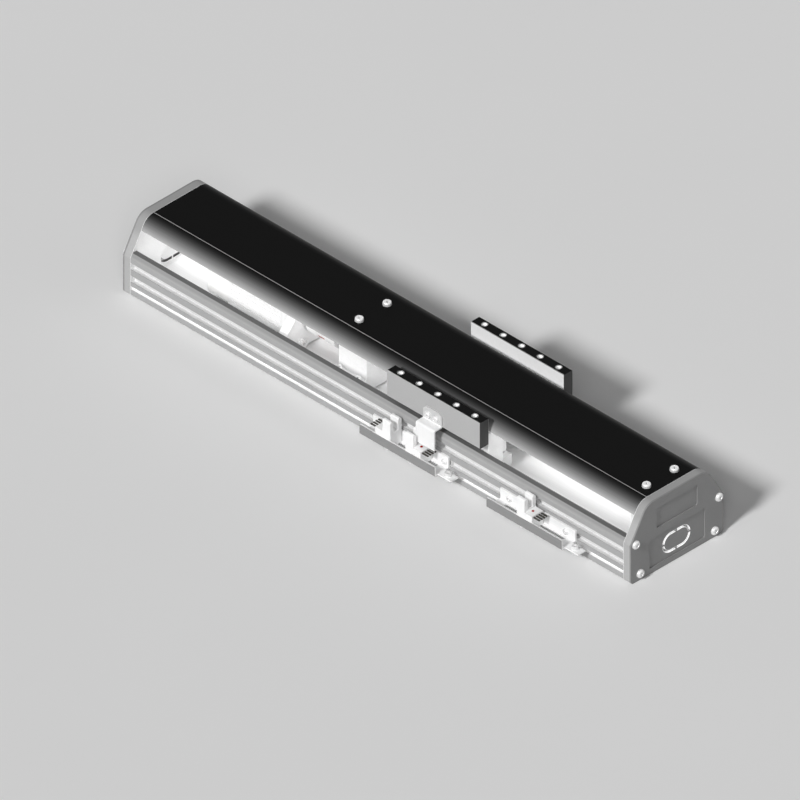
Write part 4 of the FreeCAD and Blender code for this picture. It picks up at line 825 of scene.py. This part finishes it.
@dataclass
class Fasteners:
    """Every fastener, made finely in place of its plain solid. Sizes are in millimetres."""

    plate_face: float = 274.0
    plate_upper: tuple[float, float] = (44.8, 35.2)
    plate_lower: tuple[float, float] = (40.1, 6.2)
    cover_top: float = 66.0
    cover_x: tuple[float, float] = (-54.0, 256.0)
    cover_y: float = 15.0
    axis: float = 31.0
    flag_x: tuple[float, float] = (56.6, 65.4)
    flag_seat: tuple[float, float] = (-51.2, 51.5)
    tray_x: tuple[float, ...] = (37.2, 74.5, 144.6, 205.6)
    tray_seat: tuple[float, float] = (-51.5, 16.6)
    tray_underside: float = 11.1
    tray_floor: float = 12.6
    sensor_prongs: tuple[tuple[float, int], ...] = ((29.1, -1), (45.3, 1), (165.6, 1))
    sensor_screws: tuple[tuple[float, float], ...] = ((4.5, -62.35), (11.9, -54.85))
    tab_x: tuple[float, float] = (85.5, 222.6)
    tab_y: float = -58.6
    tab_nut: tuple[float, float, int] = (2.7, 2.4, 24)
    foot_y: float = 28.0
    support_x: tuple[float, ...] = (-64.4, -43.6, 250.6, 261.4)
    support_foot: float = 20.0
    bracket_x: tuple[float, float] = (-131.0, -109.0)
    bracket_foot: float = 15.0
    motor_seat: tuple[float, float] = (-116.0, 16.2)
    retainer_seat: tuple[float, float] = (-73.0, 13.0)
    rail_first: float = -16.5
    rail_pitch: float = 40.0
    rail_count: int = 7
    rail_seat: float = 13.5
    rail_y: float = 27.0
    block_x: tuple[float, float] = (30.0, 92.0)
    block_hole: tuple[float, float] = (7.5, 10.0)
    block_seat: float = 51.0
    hanger_x: tuple[float, float] = (55.0, 67.0)
    hanger_y: float = 20.0
    hanger_seat: float = 50.0
    flange_seat: tuple[float, float] = (43.0, 10.0)
    sides: tuple[int, int] = (-1, 1)

    def around_axis(self, x: float, offset: float) -> list[tuple[float, float, float]]:
        """Four seats at the corners of a square about the screw axis."""
        return [(x, y * offset, self.axis + z * offset) for y, z in pairs(self.sides, self.sides)]

    def level(self, along: Iterable[float], across: float, height: float) -> list[tuple[float, float, float]]:
        """Seats on a level face, on both sides of the middle."""
        return [(x, side * across, height) for x, side in pairs(along, self.sides)]

    def plate(self, end: int) -> list[tuple[float, float, float]]:
        """Seats of one end plate."""
        places = pairs(self.sides, (self.plate_upper, self.plate_lower))
        return [(end * self.plate_face, side * y, z) for side, (y, z) in places]

    def blocks(self, height: float) -> list[tuple[float, float, float]]:
        """Seats over the four guide blocks."""
        along = [x + side * self.block_hole[0] for x, side in pairs(self.block_x, self.sides)]
        across = [y * self.rail_y + side * self.block_hole[1] for y, side in pairs(self.sides, self.sides)]
        return [(x, y, height) for x, y in pairs(along, across)]

    @staticmethod
    def cap_screw(nominal: float, shank: float) -> Head:
        """Socket head cap screw, whose head is as high as the nominal size."""
        return Head(nominal, shank, domed=False, height=1.0)

    @staticmethod
    def pan_screw(nominal: float, shank: float, ring: int = 36) -> Head:
        """Pan head screw with a cross recess."""
        return Head(nominal, shank, height=0.7, drive=Drive.CROSS, ring=ring)

    def groups(self) -> list[FastenerGroup]:
        """All groups, from the outside in."""
        up, down, front, rear, near = (0, 0, 1), (0, 0, -1), (1, 0, 0), (-1, 0, 0), (0, -1, 0)
        button, flat = Head(4, 17), Head(3, 5)
        cap, small, long = self.cap_screw(4, 15), self.cap_screw(3, 9), self.cap_screw(3, 30)
        bracket, motor = self.cap_screw(4, 9), self.cap_screw(4, 13)
        hanger, flange = self.cap_screw(4, 12), self.cap_screw(3, 15)
        pan, small_pan, below = self.pan_screw(4, 11), self.pan_screw(3, 5.5), self.pan_screw(3, 8, ring=24)
        rail_x = [self.rail_first + self.rail_pitch * index for index in range(self.rail_count)]
        black = "black_screw"
        return [
            FastenerGroup("front_plate_screws", button, self.plate(1), front),
            FastenerGroup("rear_plate_screws", button, self.plate(-1), rear),
            FastenerGroup("cover_screws", pan, self.level(self.cover_x, self.cover_y, self.cover_top), up),
            FastenerGroup("flag_screws", small_pan, [(x, *self.flag_seat) for x in self.flag_x], near, "carriage"),
            FastenerGroup("tray_screws", flat, [(x, *self.tray_seat) for x in self.tray_x], near),
            FastenerGroup("sensor_screws", below, self.sensor_seats(), down),
            FastenerGroup("support_screws", cap, self.level(self.support_x, self.foot_y, self.support_foot), up),
            FastenerGroup(
                "motor_bracket_screws", bracket, self.level(self.bracket_x, self.foot_y, self.bracket_foot), up
            ),
            FastenerGroup("motor_screws", motor, self.around_axis(*self.motor_seat), front),
            FastenerGroup("retainer_screws", small, self.around_axis(*self.retainer_seat), rear),
            FastenerGroup(
                "guide_rail_screws", small, self.level(rail_x, self.rail_y, self.rail_seat), up, slot=black
            ),
            FastenerGroup("guide_block_screws", long, self.blocks(self.block_seat), up, "carriage", black),
            FastenerGroup(
                "nut_bracket_screws",
                hanger,
                self.level(self.hanger_x, self.hanger_y, self.hanger_seat),
                up,
                "carriage",
                black,
            ),
            FastenerGroup("nut_flange_screws", flange, self.around_axis(*self.flange_seat), rear, "carriage", black),
        ]

    def sensor_seats(self) -> list[tuple[float, float, float]]:
        """Seats under the trays, two for each sensor."""
        places = pairs(self.sensor_prongs, self.sensor_screws)
        return [(prongs + way * along, y, self.tray_underside) for (prongs, way), (along, y) in places]

    def tray_ends(self, workshop: Workshop) -> None:
        """Makes the cap screws of the tray tabs with the hexagon nuts under the tabs."""
        cap, up = self.cap_screw(3, 3.6), (0, 0, 1)
        corner, high, ring = self.tab_nut
        nut = np.array([(0.0, -high, 1.0), (corner, -high, 1.0), (corner, 0.0, 1.0), (0.0, 0.0, 1.0)])
        parts = []
        for x in self.tab_x:
            parts.append(cap.mesh((x * MM, self.tab_y * MM, self.tray_floor * MM), up))
            under = (x * MM, self.tab_y * MM, self.tray_underside * MM)
            parts.append(turned(nut, Drive.HEXAGON, under, up, ring))
        points, faces = merged(parts)
        made = workshop.piece("fine_tray_end_screws", points, faces, "bright_screw", "base")
        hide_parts("tray_end_screws")

    def build(self, workshop: Workshop) -> None:
        """Makes every group."""
        for group in self.groups():
            group.build(workshop)
        self.tray_ends(workshop)


@dataclass
class SoftEdges:
    """Fine bevel on the edges of machined and moulded nodes, so that their edges catch the light."""

    width: float = 0.25 * MM
    segments: int = 2
    sharper_than: float = math.radians(40.0)
    nodes: tuple[str, ...] = (
        "front_end_plate",
        "rear_end_plate",
        "slider",
        "fixed_bearing_support",
        "free_bearing_support",
        "motor_bracket",
        "motor_flange",
        "nut_bracket",
        "rear_limit_sensor",
        "home_sensor",
        "front_limit_sensor",
        "sensor_flag",
        "rear_sensor_tray",
        "front_sensor_tray",
        "screw_side_hub",
        "motor_side_hub",
        "guide_block_caps",
        "lock_nut",
    )

    def build(self) -> None:
        """Adds the bevels."""
        for name in self.nodes:
            bevel = frame["nodes"][name].modifiers.new("soft edges", "BEVEL")
            bevel.width = self.width
            bevel.segments = self.segments
            bevel.limit_method = "ANGLE"
            bevel.angle_limit = self.sharper_than
            bevel.use_clamp_overlap = True
        log.info("softened the edges of %d nodes", len(self.nodes))


@dataclass
class ThreadMouths:
    """Chamfers at the mouths of the thread holes on the slider walls, bright with the slider's painted light and
    painted glow.

    Each mouth is a turned ring: it rises from the bore over a cone to the wall's top and goes down again outside.
    """

    first_x: float = 21.0 * MM
    pitch: float = 20.0 * MM
    count: int = 5
    side_y: float = 45.25 * MM
    top: float = 69.6 * MM
    bore: float = 2.05 * MM
    mouth: float = 2.55 * MM
    rim: float = 0.15 * MM
    depth: float = 3.0 * MM
    cone: float = 0.4 * MM
    proud: float = 0.06 * MM
    sunk: float = 0.02 * MM
    ring: int = 32

    def build(self, workshop: Workshop) -> None:
        """Makes all ten mouths as one piece."""
        outer = self.mouth + self.rim
        rows = np.array(
            [
                (self.bore, -self.depth),
                (self.bore, -self.cone),
                (self.mouth, self.proud),
                (outer, self.proud),
                (outer, -self.sunk),
            ]
        )
        angles = np.linspace(0.0, FULL_TURN, self.ring, endpoint=False)
        parts = []
        for index in range(self.count):
            for side in (-1, 1):
                x = self.first_x + index * self.pitch + rows[:, 0:1] * np.cos(angles)
                y = side * self.side_y + rows[:, 0:1] * np.sin(angles)
                z = self.top + rows[:, 1:2] + 0 * x
                points = np.stack([x, y, z], axis=-1).reshape(-1, 3)
                parts.append((points, grid_faces(len(rows), self.ring)[:, ::-1]))
        points, faces = merged(parts)
        workshop.piece("thread_mouths", points, faces, "slider_anodised", "carriage")


class Studio:
    """Floor, light and camera."""

    centre = (-25.1 * MM, 0.0, -1.5 * MM)
    azimuth = 45.0
    elevation = 35.264
    frame_width = 0.6105
    distance = 3.0

    ambient = 0.12
    key_towards, key_strength, key_spread = (0.12, -0.8, 0.6), 0.78, 10.0
    front_towards, front_strength, front_spread = (0.577, -0.577, 0.577), 0.2, 20.0

    strip_length, strip_width = 520 * MM, 56 * MM
    strip_height = 62.8 * MM
    strip_level = 1.95

    floor_half_width = 6.0
    floor_drop = 0.3 * MM
    floor_tone, floor_darkest, floor_swing = 0.86, 0.985, 0.03
    floor_cells, floor_detail = 3.0, 2.0
    floor_roughness, floor_specular = 0.9, 0.1

    def camera(self) -> None:
        """Parallel camera at the isometric angle of the photograph."""
        turn, rise = math.radians(self.azimuth), math.radians(self.elevation)
        back = Vector((math.sin(turn) * math.cos(rise), -math.cos(turn) * math.cos(rise), math.sin(rise)))
        data = bpy.data.cameras.new("camera")
        data.type = "ORTHO"
        data.ortho_scale = self.frame_width
        made = bpy.data.objects.new("camera", data)
        made.location = Vector(self.centre) + back * self.distance
        made.rotation_mode = "QUATERNION"
        made.rotation_quaternion = (-back).to_track_quat("-Z", "Y")
        bpy.context.scene.collection.objects.link(made)
        bpy.context.scene.camera = made

    def lamp(self, name: str, towards: Sequence[float], strength: float, spread: float) -> None:
        """Sun lamp that shines from a direction.

        Args:
            name: Name of the lamp.
            towards: Direction from the object to the lamp.
            strength: Irradiance of the lamp.
            spread: Apparent width of the lamp in degrees, which softens its shadows.
        """
        data = bpy.data.lights.new(name, "SUN")
        data.energy = strength * math.pi
        data.angle = math.radians(spread)
        made = bpy.data.objects.new(name, data)
        made.rotation_mode = "QUATERNION"
        made.rotation_quaternion = (-Vector(towards)).to_track_quat("-Z", "Y")
        bpy.context.scene.collection.objects.link(made)

    def channel_light(self) -> None:
        """Soft strip under the cover that shines down into the channel, as bright inside as in the photograph."""
        data = bpy.data.lights.new("channel", "AREA")
        data.shape = "RECTANGLE"
        data.size, data.size_y = self.strip_length, self.strip_width
        data.energy = math.pi * self.strip_length * self.strip_width * self.strip_level
        made = bpy.data.objects.new("channel", data)
        made.location = (0.0, 0.0, self.strip_height)
        made.visible_camera = False
        made.visible_glossy = False
        bpy.context.scene.collection.objects.link(made)

    def world(self) -> None:
        """White to the camera and to reflections, and a soft ambient to everything else."""
        world = bpy.data.worlds.new("studio")
        world.use_nodes = True
        tree = world.node_tree
        path = tree.nodes.new("ShaderNodeLightPath")
        seen = path.outputs["Is Camera Ray"]
        for name in ("Is Glossy Ray", "Is Transmission Ray"):
            either = tree.nodes.new("ShaderNodeMath")
            either.operation = "MAXIMUM"
            tree.links.new(seen, either.inputs[0])
            tree.links.new(path.outputs[name], either.inputs[1])
            seen = either.outputs[0]
        soft = tree.nodes["Background"]
        soft.inputs["Color"].default_value = (1, 1, 1, 1)
        soft.inputs["Strength"].default_value = self.ambient
        white = tree.nodes.new("ShaderNodeBackground")
        white.inputs["Color"].default_value = (1, 1, 1, 1)
        white.inputs["Strength"].default_value = 1.0
        mix = tree.nodes.new("ShaderNodeMixShader")
        tree.links.new(seen, mix.inputs[0])
        tree.links.new(soft.outputs[0], mix.inputs[1])
        tree.links.new(white.outputs[0], mix.inputs[2])
        tree.links.new(mix.outputs[0], tree.nodes["World Output"].inputs["Surface"])
        bpy.context.scene.world = world

    def floor(self) -> None:
        """Plain pale floor just under the base."""
        half, height = self.floor_half_width, -self.floor_drop
        mesh = bpy.data.meshes.new("floor")
        corners = [(-half, -half, height), (half, -half, height), (half, half, height), (-half, half, height)]
        mesh.from_pydata(corners, [], [(0, 1, 2, 3)])
        made = bpy.data.objects.new("floor", mesh)
        shader = Shader("pale floor")
        surface = shader.surface.inputs
        cloud = shader.noise(grey(self.floor_cells), self.floor_detail)
        tone = self.floor_darkest + cloud * self.floor_swing
        shader.feed(surface["Base Color"], shader.shaded(grey(self.floor_tone), tone))
        surface["Roughness"].default_value = self.floor_roughness
        surface["Specular IOR Level"].default_value = self.floor_specular
        mesh.materials.append(shader.material)
        bpy.context.scene.collection.objects.link(made)

    def build(self) -> None:
        """Sets up the whole studio."""
        scene = bpy.context.scene
        scene.view_settings.view_transform = "Standard"
        self.camera()
        self.world()
        self.lamp("key", self.key_towards, self.key_strength, self.key_spread)
        self.lamp("front", self.front_towards, self.front_strength, self.front_spread)
        self.channel_light()
        self.floor()
        log.info("studio ready")


def main() -> None:
    """Dresses the frame, adds the fine pieces and sets up the studio."""
    logging.basicConfig(level=logging.INFO, format="%(name)s %(message)s")
    paintwork = Paintwork()
    paintwork.dress_frame()
    workshop = Workshop(paintwork)
    RolledScrew().build(workshop)
    Fasteners().build(workshop)
    SoftEdges().build()
    ThreadMouths().build(workshop)
    Studio().build()


if __name__ == "__main__":
    main()
